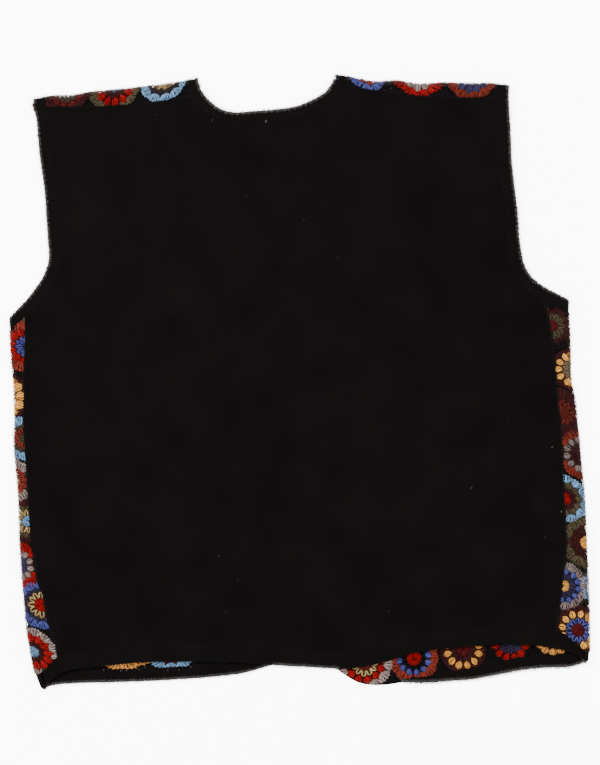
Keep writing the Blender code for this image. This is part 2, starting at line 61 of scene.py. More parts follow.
SHOWN_TALL = 696.2
CAMERA_UP = 2600.0
PAPER_BELOW = 0.4
# In metres, as the lights' places are.
PAPER_ACROSS = 9.0


def placed(name, data):
    """A thing in the scene, made from its data."""
    thing = bpy.data.objects.new(name, data)
    bpy.context.scene.collection.objects.link(thing)
    return thing


def set_values(node, values):
    """Gives the sockets of a node their values."""
    for key, value in values.items():
        node.inputs[key].default_value = value


def stage_light(name, place, across, watts):
    """A square soft box aimed at the middle of the cardigan, its place in metres."""
    data = bpy.data.lights.new(name, "AREA")
    data.size = across
    data.energy = watts
    light = placed(name, data)
    light.location = place
    light.rotation_euler = (-Vector(place)).to_track_quat("-Z", "Y").to_euler()


view = bpy.data.cameras.new("camera")
view.sensor_width = 36.0
view.lens = view.sensor_width * CAMERA_UP / SHOWN_TALL
camera = placed("camera", view)
camera.location = (0.0004, -0.0005, CAMERA_UP * MM)
bpy.context.scene.camera = camera

stage_light("light_left", (-1.5, 1.1, 1.7), 1.0, 150)
stage_light("light_right", (1.7, 0.3, 1.9), 1.6, 60)
stage_light("light_foot", (0.2, -1.9, 1.7), 1.2, 35)
world = bpy.data.worlds.new("room")
bpy.context.scene.world = world
world.use_nodes = True
set_values(world.node_tree.nodes["Background"], {"Color": (1, 1, 1, 1), "Strength": 1.6})

paper = bpy.data.materials.new("paper")
paper.use_nodes = True
set_values(paper.node_tree.nodes["Principled BSDF"],
           {"Base Color": (0.93, 0.93, 0.93, 1), "Roughness": 0.9,
            "Emission Color": (1, 1, 1, 1), "Emission Strength": 7.0})
half = PAPER_ACROSS / 2
floor_mesh = bpy.data.meshes.new("floor")
floor_corners = ((-half, -half), (half, -half), (half, half), (-half, half))
floor_mesh.from_pydata([(x, y, -PAPER_BELOW * MM) for x, y in floor_corners], [], [(0, 1, 2, 3)])
floor_mesh.materials.append(paper)
floor = placed("floor", floor_mesh)
floor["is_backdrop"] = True

# The back
# One panel of fine black machine knit, cut to the armholes, shoulders, neck and hem and joined
# to the fronts at its sides. It sags a little over the fronts, and a few soft creases cross it.
KNIT_WALL = 1.8
CROCHET_WALL = 2.4
SEAM_GAP = 0.35
FOLD_RADIUS = (CROCHET_WALL + 1.6) / 2
UNDER = CROCHET_WALL / 2
OVER = UNDER + 2 * FOLD_RADIUS
SAGGED = 4.5
SAG_REACH = 55.0
OPEN_SAG = 1.6
OPEN_SAG_EDGE = 12.0
OPEN_SAG_REACH = 20.0
PUFF_RISE = 1.3
PUFF_REACH = 11.0
ARM_BAND = 11.0
NECK_BAND = 9.0
LINE_STEP = 5.0
CURVE_PARTS = 12
BACK_GRID = 4.5
LOWEST = 0.03
FLAT_MIDDLE = np.array([0.033, -0.365])

# Lines of the cut: x and y, from the shoulder fold down or from left to right.
ARM_EDGE = {
    "left": [(-241.6, 257), (-242.5, 250), (-239, 240), (-238, 229), (-236, 206), (-231.6, 174),
             (-230, 151), (-228.5, 129), (-227.5, 112), (-230, 102), (-234, 93), (-241, 83),
             (-248, 74), (-256, 65.5), (-263, 58.5)],
    "right": [(190, 269), (190, 252), (191.5, 229), (192.5, 202), (195, 179), (198, 154),
              (199.5, 133), (201.5, 116), (204.5, 105), (209, 97), (215, 91), (223.5, 85),
              (233.5, 80), (244, 74.5)],
}
SIDE_FOLD = {
    "left": [(-263.4, 61), (-263, 47), (-261.5, 20), (-259.5, -3), (-258.5, -35), (-259.5, -53),
             (-258, -71), (-255, -108), (-254, -144), (-252, -176), (-250, -199), (-248, -222.5),
             (-245.3, -240), (-243.6, -250), (-242, -258), (-240, -266), (-237.8, -272),
             (-234.8, -279)],
    "right": [(244.3, 76), (245, 51), (246, 29), (246.6, 1.5), (250.3, -17), (252.2, -35),
              (254, -53), (255.5, -71), (259, -108), (260.5, -144), (262.2, -181), (263.2, -217),
              (263.4, -244), (262.5, -254)],
}
SIDE_SEAM = {
    "left": [(-248, 68), (-249, 54), (-249, 32), (-250.5, 6), (-250, -12), (-250.5, -35),
             (-249, -62), (-246, -108), (-245, -126), (-244, -144), (-241, -162), (-238, -181),
             (-232.5, -196), (-229, -217), (-222.5, -235), (-220, -250), (-219, -256)],
    "right": [(220.5, 76), (222.5, 69), (226, 59), (230, 36), (232.5, 10), (234.5, -18),
              (237, -35), (238, -55), (239, -71), (240, -99), (241.5, -127), (242.5, -151),
              (240, -171), (237, -200), (235, -211), (233.5, -224), (232.5, -236)],
}
SHOULDER_FOLD = {
    "left": [(-244, 256), (-229, 259), (-207, 260), (-196, 262), (-174, 264.5), (-152, 266.5),
             (-131, 269), (-120, 270.5), (-109, 272), (-103.5, 273), (-98, 275.2), (-90, 275.5)],
    "right": [(31, 278.5), (38, 278.5), (44, 277), (55, 274.5), (66, 272.5), (77, 272.5),
              (88, 273.5), (99, 271.5), (110, 270), (131, 271.5), (153, 270.7), (175, 270.7),
              (193, 268.5)],
}
SHOULDER_SEAM = {
    "left": [(-247, 249.5), (-209, 249.3), (-168, 250), (-122, 255), (-84, 261)],
    "right": [(21, 267.5), (61, 265), (108, 259.5), (156, 257.5), (198, 257.5)],
}
NECK_EDGE = [(-92.4, 276), (-91.5, 270), (-89.6, 265), (-87, 260.5), (-83, 256), (-77.5, 251),
             (-70.5, 247), (-60.5, 244.5), (-45, 245.3), (-32, 246.3), (-10.5, 248.5), (1.5, 251.5),
             (12, 256), (20.5, 260.7), (26, 265.3), (29.5, 271), (31.5, 275), (32.8, 278.5)]
FRONT_EDGE = {
    "left": [(-92.4, 276), (-91.5, 265), (-87, 240), (-79, 203), (-65, 165), (-49, 131),
             (-34, 100), (-26, 74), (-24, 20), (-23, -71), (-20.5, -162), (-18.7, -242.5)],
    "right": [(32.8, 278.5), (31.4, 265), (29.6, 242), (24, 206), (13, 165), (0.5, 129),
              (-11.5, 101.5), (-18.7, 78), (-17.7, 47), (-11.5, -17), (0.5, -90), (15, -162),
              (31.4, -235), (34, -246)],
}
# The back's hem, from the left: x and y of the free edge, then x and y of the seam above it.
BACK_HEM = [(-230.5, -276, -233, -264), (-225, -270, -227, -258), (-217, -264.5, -220, -251),
            (-205, -261, -206, -246.5), (-191, -259.5, -192, -244.5), (-171, -257.3, -171.5, -242),
            (-136, -254.6, -136, -239.2), (-90, -254.2, -90, -238.8), (-59, -255, -58, -239.8),
            (-34, -256.4, -33, -241.2), (-13, -258.2, -13, -243), (14, -259.5, 14, -244.5),
            (41, -260.7, 39.5, -245.7), (64, -257.5, 60.5, -243), (84, -252.5, 79, -238.5),
            (105, -246, 99.5, -232.5), (131, -242.5, 126, -228), (164, -240, 162.5, -224),
            (191.5, -239, 191.5, -221.5), (214.5, -239.5, 216, -222.5), (227, -241, 233.5, -226.5),
            (240, -244, 244.5, -233.5), (251.5, -247.5, 253.5, -240), (257.4, -252, 258.1, -244.8)]
# Soft creases of the back: the points that each runs through, its depth and its half width.
CREASES = [([(-22, 120), (-24, 40), (-27, -40), (-36, -95), (-52, -130)], -0.55, 13),
           ([(-52, -130), (-80, -152), (-112, -172)], -0.45, 14),
           ([(62, -40), (30, -62), (6, -92), (-8, -120)], -0.40, 12),
           ([(150, -10), (120, -34), (84, -54)], -0.35, 13),
           ([(168, 18), (196, -30), (212, -88)], -0.35, 12),
           ([(-196, 190), (-188, 130), (-196, 70)], 0.35, 14),
           ([(66, 226), (64, 196), (56, 168)], -0.35, 9),
           ([(-222, -150), (-200, -186), (-176, -206)], 0.35, 12),
           ([(-6, -196), (-40, -212), (-84, -216)], 0.30, 11)]

Turn = namedtuple("Turn", "sign side shoulder")


def even_rows(line, step):
    """The same line with rows at equal steps, measured along its first two columns."""
    run = np.concatenate([[0], np.cumsum(np.hypot(*np.diff(line[:, :2], axis=0).T))])
    count = max(2, round(run[-1] / step) + 1)
    at = np.linspace(0, run[-1], count)
    return np.column_stack([np.interp(at, run, column) for column in line.T])


def smooth_line(rows):
    """Rows spaced evenly along a smooth curve through the given rows."""
    knots = np.array(rows, dtype=float)
    knots = np.vstack([2 * knots[0] - knots[1], knots, 2 * knots[-1] - knots[-2]])
    dense = []
    for a, b, c, d in zip(knots, knots[1:], knots[2:], knots[3:]):
        for t in np.arange(CURVE_PARTS) / CURVE_PARTS:
            dense.append(0.5 * (2 * b + (c - a) * t + (2 * a - 5 * b + 4 * c - d) * t ** 2
                                + (3 * b - a - 3 * c + d) * t ** 3))
    dense.append(knots[-2])
    return even_rows(np.array(dense), LINE_STEP)


def beside(line, width):
    """The line moved sideways, to the left of its own direction."""
    along = np.gradient(line, axis=0)
    along /= np.hypot(along[:, 0], along[:, 1])[:, None]
    return line + width * np.column_stack([-along[:, 1], along[:, 0]])


def past_seam(edge, seam):
    """The line beyond a band's seam where the next piece starts."""
    across = seam - edge
    return seam + across * (SEAM_GAP / np.hypot(across[:, 0], across[:, 1]))[:, None]


def value_at(line, at, known, wanted):
    """One coordinate of a line where its other coordinate has the given values."""
    order = np.argsort(line[:, known])
    return np.interp(at, line[order, known], line[order, wanted])


def crossing(first, second):
    """Places on two lines, and the point, where the first meets the second."""
    for i, (a, b) in enumerate(zip(first, first[1:])):
        r = b - a
        s = second[1:] - second[:-1]
        gap = second[:-1] - a
        cross = r[0] * s[:, 1] - r[1] * s[:, 0]
        cross[np.abs(cross) < 1e-9] = 1e-9
        t = (gap[:, 0] * s[:, 1] - gap[:, 1] * s[:, 0]) / cross
        u = (gap[:, 0] * r[1] - gap[:, 1] * r[0]) / cross
        hits = np.flatnonzero((t >= 0) & (t <= 1) & (u >= 0) & (u <= 1))
        if len(hits):
            j = hits[0]
            return i + t[j], j + u[j], a + t[j] * r
    raise ValueError(f"lines from {first[0]} to {first[-1]} and from {second[0]} do not meet")


def signed_area(outline):
    """Area of a closed outline, above zero where it runs counterclockwise."""
    x, y = outline.T
    return 0.5 * (np.dot(x, np.roll(y, -1)) - np.dot(y, np.roll(x, -1)))


def closed_loop(lines):
    """The outline that lines make in turn, each cut where it crosses the next."""
    meets = [crossing(a, b) for a, b in zip(lines, lines[1:] + lines[:1])]
    outline = []
    for line, before, after in zip(lines, meets[-1:] + meets[:-1], meets):
        outline.append(before[2])
        for place, point in enumerate(line):
            if before[1] + 0.02 < place < after[0] - 0.02:
                outline.append(point)
    outline = np.array(outline)
    return outline if signed_area(outline) > 0 else outline[::-1]


def side_turn(turn, y):
    """x where the side's fold begins to rise, at the height y."""
    return value_at(turn.side, y, 1, 0) - turn.sign * (FOLD_RADIUS + UNDER)


def shoulder_turn(turn, x):
    """y where the shoulder's fold begins to rise, at the place x."""
    return value_at(turn.shoulder, x, 0, 1) - FOLD_RADIUS - UNDER


def nearest(points, lines):
    """Distance from each point to the nearest point of some lines."""
    goal = np.vstack([line[:, :2] for line in lines])
    away = [np.hypot(part[:, None, 0] - goal[:, 0], part[:, None, 1] - goal[:, 1]).min(axis=1)
            for part in np.array_split(points, max(1, len(points) // 4000))]
    return np.concatenate(away)


def eased(share):
    """A smooth step from 0 to 1."""
    share = np.clip(share, 0, 1)
    return share * share * (3 - 2 * share)


TURNS = {name: Turn(sign, smooth_line(SIDE_FOLD[name]), smooth_line(SHOULDER_FOLD[name]))
         for name, sign in (("left", -1), ("right", 1))}
SIDE_SEAM_LINE, SHOULDER_SEAM_LINE, EDGE_LINE = (
    {name: smooth_line(rows) for name, rows in lines.items()}
    for lines in (SIDE_SEAM, SHOULDER_SEAM, FRONT_EDGE))
BACK_HEM_ROWS = smooth_line(BACK_HEM)
PUFF_LINE = BACK_HEM_ROWS[(BACK_HEM_ROWS[:, 0] > 95) & (BACK_HEM_ROWS[:, 0] < 232), 2:] + (0, 5)
HELD_UP = [line for lines in (SIDE_SEAM_LINE, SHOULDER_SEAM_LINE) for line in lines.values()]
CREASE_LINES = [(smooth_line(points), depth, half_width) for points, depth, half_width in CREASES]


def arm_lines(name):
    """Free edge and seam of an armhole band, from the shoulder's fold to the underarm's."""
    turn = TURNS[name]
    edge = smooth_line(ARM_EDGE[name])
    seam = beside(edge, -turn.sign * ARM_BAND)
    last = round(32 / LINE_STEP)
    for place in range(1, last + 1):
        blend = 1 - (place - 1) / last
        drop = edge[-place] + (0, -ARM_BAND)
        seam[-place] = seam[-place] * (1 - blend) + drop * blend
    for line in (edge, seam):
        line[0] = (line[0, 0], shoulder_turn(turn, line[0, 0]))
    seam[-1] = (side_turn(turn, seam[-1, 1]), seam[-1, 1])
    before, after = (turn.sign * (x - side_turn(turn, y)) for x, y in edge[-2:])
    edge[-1] = edge[-2] + (edge[-1] - edge[-2]) * before / (before - after)
    return edge, seam


def neck_lines():
    """Free edge and seam of the back neck, and of both front edges, folds left out."""
    back = smooth_line(NECK_EDGE)
    lines = {"back": (back, beside(back, -NECK_BAND))}
    for name, turn in TURNS.items():
        edge = EDGE_LINE[name].copy()
        lines[name] = (edge, beside(edge, turn.sign * NECK_BAND))
    for place, name in ((0, "left"), (-1, "right")):
        turn = TURNS[name]
        away = turn.sign * NECK_BAND
        top = back[place, 0]
        for line, x in zip(lines["back"], (top, top + away)):
            line[place] = (x, shoulder_turn(turn, x))
        for line, x in zip(lines[name], (top, top + away)):
            line[0] = (x, shoulder_turn(turn, x))
    return lines


ARM_LINES = {name: arm_lines(name) for name in TURNS}
NECK_LINES = neck_lines()


def top_height(points):
    """Height of the back's middle: high beside the folds, sagged over the fronts, creased."""
    x, y = points[:, 0], points[:, 1]
    left = value_at(EDGE_LINE["left"], y, 1, 0)
    right = value_at(EDGE_LINE["right"], y, 1, 0)
    in_opening = np.clip(np.minimum(x - left, right - x), 0, None)
    held = 1 - eased(nearest(points, HELD_UP) / SAG_REACH)
    height = SAGGED + (OVER - SAGGED) * held
    height -= OPEN_SAG * eased((in_opening - OPEN_SAG_EDGE) / OPEN_SAG_REACH)
    height += PUFF_RISE * np.exp(-(nearest(points, [PUFF_LINE]) / PUFF_REACH) ** 2)
    for line, depth, half_width in CREASE_LINES:
        near = nearest(points, [line[2:-2]])
        height += depth * np.exp(-(near / half_width) ** 2) * (1 - held)
    return height


def laid(points):
    """Points of the back's wall and their upward directions."""
    return (np.column_stack([points, top_height(points)]),
            np.tile((0.0, 0.0, 1.0), (len(points), 1)))


def inside(points, outline):
    """Which points lie inside a closed outline."""
    hit = np.zeros(len(points), dtype=bool)
    x, y = points[:, 0], points[:, 1]
    for (x0, y0), (x1, y1) in zip(outline, np.roll(outline, -1, axis=0)):
        if y0 != y1:
            hit ^= ((y0 > y) != (y1 > y)) & (x < x0 + (x1 - x0) * (y - y0) / (y1 - y0))
    return hit


def clear_points(points, outline, margin):
    """The points that lie inside an outline by more than a margin."""
    points = np.array(points, dtype=float)
    points = points[inside(points, outline)]
    rim = even_rows(np.vstack([outline, outline[:1]]), max(margin / 2, 0.8))
    return points[nearest(points, [rim]) > margin]


class Thread:
    """A value in a material's node tree. Sums on it are written as plain arithmetic."""

    def __init__(self, tree, socket=None):
        self.tree = tree
        self.socket = socket

    def add(self, kind, settings=(), values=(), out=0):
        """A node of any type: its settings first, then its sockets' values or links."""
        node = self.tree.nodes.new(kind)
        for key, value in dict(settings).items():
            setattr(node, key, value)
        for key, value in dict(values).items():
            if isinstance(value, Thread):
                self.tree.links.new(value.socket, node.inputs[key])
            else:
                node.inputs[key].default_value = value
        return Thread(self.tree, node.outputs[out])

    def output(self, number):
        """Another output of the node that this value comes from."""
        return Thread(self.tree, self.socket.node.outputs[number])

    def sum(self, operation, *terms):
        """One step of arithmetic."""
        return self.add("ShaderNodeMath", {"operation": operation}, dict(enumerate(terms)))

    def mixed(self, share, first, second, blend="MIX"):
        """Two colours mixed by a share."""
        return self.add("ShaderNodeMix", {"data_type": "RGBA", "blend_type": blend},
                        {0: share, 6: first, 7: second}, out=2)

    def __add__(self, other):
        return self.sum("ADD", self, other)

    def __sub__(self, other):
        return self.sum("SUBTRACT", self, other)

    def __rsub__(self, other):
        return self.sum("SUBTRACT", other, self)

    def __mul__(self, other):
        return self.sum("MULTIPLY", self, other)

    def __truediv__(self, other):
        return self.sum("DIVIDE", self, other)

    def __pow__(self, other):
        return self.sum("POWER", self, other)

    def __abs__(self):
        return self.sum("ABSOLUTE", self)

    __radd__ = __add__
    __rmul__ = __mul__


def finish_material(name, roughness, sheen, sheen_tint):
    """An empty yarn material and its two ends: where sums start and where they arrive."""
    material = bpy.data.materials.new(name)
    material.use_nodes = True
    shader = material.node_tree.nodes["Principled BSDF"]
    set_values(shader, {"Roughness": roughness, "Specular IOR Level": 0.01, "Sheen Weight": sheen,
                        "Sheen Roughness": 0.45, "Sheen Tint": sheen_tint})
    return material, Thread(material.node_tree), shader


def noise(start, place, scale, detail):
    """Soft random patches over a place: the larger the scale, the finer they are."""
    return start.add("ShaderNodeTexNoise", {}, {"Vector": place, "Scale": scale, "Detail": detail})


def surface(shader, start, colour, height, distance, strength):
    """Joins a colour and a bump height to the shader."""
    start.tree.links.new(colour.socket, shader.inputs["Base Color"])
    bump = start.add("ShaderNodeBump", {}, {"Strength": strength, "Distance": distance * MM,
                                            "Height": height})
    start.tree.links.new(bump.socket, shader.inputs["Normal"])


def knit_stitches(across, along, wale, course):
    """Height of plain knit: columns of small leaning legs, one pair to a stitch."""
    column = across / wale
    half_column = abs(column.sum("FRACT", column) - 0.5)
    row = along / course + half_column * 1.1
    leg = 1 - abs(half_column - 0.24) * 4.2
    bead = 0.62 + 0.38 * row.sum("SINE", row * math.tau)
    return leg.sum("MAXIMUM", leg, 0.0) ** 0.6 * bead


BLACK_WOOL = (0.0019, 0.0014, 0.0015, 1)
FADED_WOOL = (0.0042, 0.0033, 0.0033, 1)
WALE = 1.9
COURSE = 1.45


def faded_knit(start, fade, stitch, painted_stitch_shade):
    """Black wool that fades by a share, and has shade painted between its stitches by another."""
    cloth = start.mixed(fade, BLACK_WOOL, FADED_WOOL)
    return start.mixed(stitch * 0.5 + 0.5, start.mixed(painted_stitch_shade, cloth, (0, 0, 0, 1)), cloth)


def black_knit_material():
    """Fine black plain knit, a little faded in soft patches."""
    material, start, shader = finish_material("black_knit", 0.95, 0.008, (1, 0.88, 0.84, 1))
    place = start.add("ShaderNodeTexCoord", out="Object")
    scaled = start.add("ShaderNodeVectorMath", {"operation": "SCALE"}, {0: place, "Scale": 1 / MM})
    drift = noise(start, scaled, 0.06, 2.0)
    parts = start.add("ShaderNodeSeparateXYZ", {}, {0: scaled})
    stitch = knit_stitches(parts + drift * 1.2, parts.output(1), WALE, COURSE)
    patches = noise(start, scaled, 0.022, 3.0)
    fibres = noise(start, scaled, 2.4, 3.0)
    # The last figure is the shade painted between the stitches.
    colour = faded_knit(start, patches + fibres * 0.6 - 0.42, stitch, 0.45)
    surface(shader, start, colour, stitch + fibres * 0.25, 0.5, 0.7)
    return material


def cloth_piece(name, outline, upper, lower, place, thick, material, wools=None):
    """A thin closed shell of cloth cut to an outline, from points inside it on each side."""
    rim = len(outline)
    corners, faces, rings, flats = [], [], [], []
    for side, extra in ((0.5, upper), (-0.5, lower)):
        spots = [Vector(point) for point in np.vstack([outline, extra[:, :2]])]
        flat, _, cells, kept, _, _ = delaunay_2d_cdt(spots, [], [list(range(rim))], 1, 1e-6, True)
        flat = np.array(flat)
        flats.append(flat)
        middle, out = place(flat)
        first = sum(len(part) for part in corners)
        rise = np.array([extra[k[0] - rim, 2] if k[0] >= rim and extra.shape[1] > 2 else 0.0
                         for k in kept])
        corners.append(middle + out * (side * thick + rise)[:, None])
        cells = np.array(cells)
        cells = cells[inside(flat[cells].mean(axis=1), outline)]
        if side < 0:
            cells = cells[:, ::-1]
        faces += (cells + first).tolist()
        found = {k[0]: i + first for i, k in enumerate(kept)}
        rings.append([found[i] for i in range(rim)])
    for i in range(rim):
        j = (i + 1) % rim
        faces.append((rings[1][i], rings[1][j], rings[0][j], rings[0][i]))
    finish = {"wool": ("FLOAT_COLOR", wools(np.vstack(flats)))} if wools else {}
    piece = made_piece(name, np.vstack(corners), faces, material, finish)
    piece.data.set_sharp_from_angle(angle=1.0)
    return piece


def made_piece(name, corners, faces, material, finish):
    """One smooth-shaded piece from points in millimetres, resting on the surface."""
    corners = corners - (*FLAT_MIDDLE, 0.0)
    corners[:, 2] = np.maximum(corners[:, 2], LOWEST)
    mesh = bpy.data.meshes.new(name)
    mesh.from_pydata((corners * MM).tolist(), [], faces)
    for key, (kind, values) in finish.items():
        layer = mesh.attributes.new(key, kind, "POINT")
        field = "color" if kind == "FLOAT_COLOR" else "vector"
        layer.data.foreach_set(field, np.asarray(values, dtype=np.float32).ravel())
    mesh.materials.append(material)
    mesh.shade_smooth()
    return placed(name, mesh)


def staggered(low, high, step):
    """Points of an even grid with every other row moved by half a step."""
    return np.array([(x, y) for row, y in enumerate(np.arange(low[1], high[1], step * 0.87))
                     for x in np.arange(low[0] + step / 2 * (row % 2), high[0], step)])


BACK_CUT = closed_loop([SIDE_SEAM_LINE["left"][::-1] - (SEAM_GAP, 0),
                        past_seam(*ARM_LINES["left"])[::-1],
                        SHOULDER_SEAM_LINE["left"] + (0, SEAM_GAP),
                        past_seam(*NECK_LINES["back"]),
                        SHOULDER_SEAM_LINE["right"] + (0, SEAM_GAP),
                        past_seam(*ARM_LINES["right"]),
                        SIDE_SEAM_LINE["right"] + (SEAM_GAP, 0),
                        past_seam(BACK_HEM_ROWS[:, :2], BACK_HEM_ROWS[:, 2:])[::-1]])
fine, coarse = (clear_points(staggered((-262, -262), (262, 272), step), BACK_CUT, margin)
                for step, margin in ((BACK_GRID, BACK_GRID * 0.4), (BACK_GRID * 2.5, BACK_GRID)))
back = cloth_piece("back_knit", BACK_CUT, fine, coarse, laid, KNIT_WALL, black_knit_material())
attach(back, "root")
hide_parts("back_panel")

# The fronts
# Each front is crochet: rounds of wool worked from the middle out, a ring of loops, a ring of
# raised petals and a scalloped rim, joined with black wool and folded over side and shoulder.
FOLD_LENGTH = math.pi * FOLD_RADIUS
FOLD_STEPS = 8
GROUND_WALL = 1.5
COLUMN = 42.0
COLUMNS = 7
# How far the hidden rows of the left front rise from round to round. Those of the right front
# drop, by nothing in its first row and by this much in its last.
LEFT_RISE = 0.6
RIGHT_DROP = 6.4
# How much of the lines on top a front's cut takes in past its folds, at underarm, shoulder, neck
# and hem, and how far its front edge is drawn on to cross the hem.
UNDERARM_REACH = 40
SHOULDER_REACH = 14
NECK_REACH = 24
HEM_REACH = 50
FOOT_REACH = 22
# Its edge has a point every few millimetres, and more wherever its direction changes by a fold.
EDGE_STEP = 4
BEND_PARTS = 10
SAME_WAY = 0.96
FRONT_HEM = {
    "left": [(-233.5, -279, -238.3, -266), (-227, -276.8, -229, -264.8), (-218, -275.2, -219, -263.6),
             (-196, -274, -196, -262.6), (-163, -273.2, -163, -262), (-131, -272, -131, -260.6),
             (-98, -270, -98.3, -259), (-74, -268, -75, -257.4), (-54, -265.6, -55.5, -255),
             (-40.5, -262.3, -42.3, -251.8), (-29, -258.8, -30, -248.2), (-18.7, -255, -18.7, -245)],
    "right": [(92.8, -273.0, 92.8, -271.0), (114, -273.7, 113.3, -269), (137, -272, 136, -265),
              (157, -270.5, 156, -261), (171.5, -268, 170.6, -257.5), (186, -265.3, 185, -254.3),
              (202.5, -262, 201.6, -251), (223.4, -260, 223.4, -249.6), (241.6, -259.6, 241.6, -249),
              (252.5, -257.5, 252.5, -247.5), (259.4, -254.3, 260.1, -245.7)],
}
CORNER_ROUND = [(93.7, -273.6), (78, -275.9), (64, -275.9), (54, -274), (46.5, -270.2), (39.5, -265.6),
                (33, -261), (31, -256), (34.5, -251.6), (42.5, -250.5), (50, -250.5), (60, -250.5)]

# Light that each wool returns: red, green and blue.
YARNS = {"red": (0.118, 0.0024, 0.0026, 1), "crimson": (0.042, 0.0036, 0.0036, 1),
         "brick": (0.092, 0.0122, 0.0074, 1), "rust": (0.074, 0.0098, 0.0056, 1),
         "russet": (0.046, 0.0066, 0.0040, 1), "maroon": (0.0165, 0.0032, 0.0036, 1),
         "gold": (0.375, 0.168, 0.032, 1), "cream": (0.17, 0.115, 0.047, 1),
         "olive": (0.031, 0.024, 0.0130, 1), "sky": (0.068, 0.128, 0.205, 1),
         "blue": (0.030, 0.033, 0.120, 1), "navy": (0.0120, 0.0098, 0.022, 1),
         "grey": (0.118, 0.087, 0.078, 1), "brown": (0.034, 0.0130, 0.0095, 1),
         "umber": (0.0130, 0.0092, 0.0092, 1), "black": (0.0020, 0.0017, 0.0017, 1),
         "plum": (0.020, 0.0160, 0.046, 1), "taupe": (0.090, 0.064, 0.038, 1),
         "ash": (0.086, 0.064, 0.059, 1), "ochre": (0.25, 0.106, 0.024, 1),
         "amber": (0.31, 0.130, 0.023, 1)}
SHADE_LIGHT = 0.013

# Crochet rounds that show: x and y of the middle as it would lie on top, the way that a petal
# points, where middle, loops, petals and rim end, the wools of the four, how plump the petals
# are and how far the rim is drawn out sideways.
Round = namedtuple("Round", "x y start ends wools plump wide", defaults=[1.0, 1.0])
SIDE_ROUNDS = {
    "left": [Round(-248, 31.5, 15, (3.2, 10.0, 16.8, 25.0), "navy blue red brick"),
             Round(-269, -13, 0, (4.0, 12.0, 20.5, 24.0), "taupe brown gold maroon", 0.86),
             Round(-250.5, -51.5, 20, (3.6, 9.8, 13.4, 21.5), "olive brick olive sky"),
             Round(-259.8, -89.6, 0, (2.6, 6.4, 12.8, 20.8), "maroon cream brick grey"),
             Round(-247, -127, 10, (5.0, 11.0, 15.0, 21.0), "sky cream olive maroon"),
             Round(-256.6, -166.6, 15, (4.0, 9.6, 15.2, 22.6), "navy plum grey red", 0.9),
             Round(-234.3, -203, 20, (6.3, 12.0, 15.8, 22.8), "red cream navy blue"),
             Round(-241.6, -245.2, 6, (5.0, 8.8, 16.8, 23.0), "sky maroon red grey")],
    "right": [Round(229.5, 50.5, 15, (5.0, 11.4, 16.4, 23.5), "crimson olive maroon black"),
              Round(248, 11, 180, (3.4, 9.4, 16.6, 20.5), "crimson taupe gold maroon", 0.7),
              Round(238.4, -27.8, 0, (6.0, 11.6, 15.0, 23.5), "russet russet maroon maroon"),
              Round(256.2, -66.6, 176, (4.2, 10.4, 16.6, 23.1), "maroon maroon ash rust", 0.8),
              Round(240.2, -106.3, 0, (6.0, 10.6, 16.4, 22.3), "red maroon olive sky"),
              Round(261.0, -146.2, 165, (6.2, 11.6, 15.8, 24.8), "gold maroon maroon olive"),
              Round(240.2, -185.6, 14, (5.0, 10.6, 15.8, 23.0), "gold navy blue ash", 0.9, 0.86),
              Round(253, -225.7, 12, (6.0, 11.3, 18.0, 23.0), "crimson blue gold maroon", 0.76)],
}
# Rounds of the lower layer whose rims come round the fold.
FOLD_ROUNDS = {"left": [Round(-276.5, -205, 0, (5.0, 10.0, 16.0, 21.0), "gold brick navy blue")],
               "right": [Round(282.5, -187, 0, (5.0, 10.0, 17.0, 27.0), "red grey olive sky")]}
SHOULDER_ROUNDS = {
    "left": [Round(-210.2, 265.3, 15, (4.0, 12.0, 17.0, 22.0), "brown olive crimson maroon", 1.0, 1.14),
             Round(-167.4, 268, -90, (5.0, 10.0, 18.2, 23.0), "sky maroon red olive", 0.7, 1.06),
             Round(-122.2, 277.1, -75, (5.0, 12.0, 17.0, 23.5), "cream cream umber sky")],
    "right": [Round(60.0, 286.0, -75, (5.0, 10.5, 16.6, 22.5), "gold grey rust blue", 1.0, 1.08),
              Round(106.9, 280.7, -90, (5.0, 9.0, 17.4, 24.5), "grey sky grey red", 0.9, 1.24),
              Round(156.1, 278.9, -80, (5.0, 11.0, 17.2, 24.0), "blue plum plum rust", 1.0, 1.06)],
}
# The bottom rows lie under the hem of the back, seen from inside the garment.
HEM_ROUNDS = {
    "left": [Round(-198, -243, 0, (5.0, 9.0, 16.0, 20.0), "gold maroon black black"),
             Round(-161, -240.5, 0, (5.0, 10.0, 15.4, 22.2), "red navy maroon ochre", 1.0, 1.6),
             Round(-117, -240.0, 15, (5.0, 10.0, 17.2, 22.5), "cream navy crimson sky", 0.6, 1.3),
             Round(-74, -239, 0, (5.0, 11.0, 16.0, 20.0), "red cream black black"),
             Round(-35, -236, 0, (5.0, 11.0, 16.0, 20.0), "sky blue black black")],
    "right": [Round(230.7, -231.6, 90, (5.0, 11.0, 18.0, 20.0), "olive maroon ochre black"),
              Round(191.8, -237.3, 15, (4.5, 10.4, 17.4, 20.0), "plum navy red black", 0.84),
              Round(148.8, -243.8, 15, (5.5, 11.2, 18.2, 21.5), "crimson maroon amber maroon", 0.74),
              Round(104.0, -251.4, 12, (6.8, 10.8, 16.2, 23.0), "red black blue brick", 0.85),
              Round(59.2, -255.4, 10, (7.5, 12.8, 19.2, 26.0), "russet cream red grey", 0.92)],
}


def turned(past):
    """Way on, rise and angle of a wall a given way past the start of its fold."""
    angle = np.clip(past / FOLD_RADIUS, 0, math.pi)
    over = np.clip(past - FOLD_LENGTH, 0, None)
    on = np.where(past <= 0, past, FOLD_RADIUS * np.sin(angle) - over)
    return on, FOLD_RADIUS * (1 - np.cos(angle)), angle


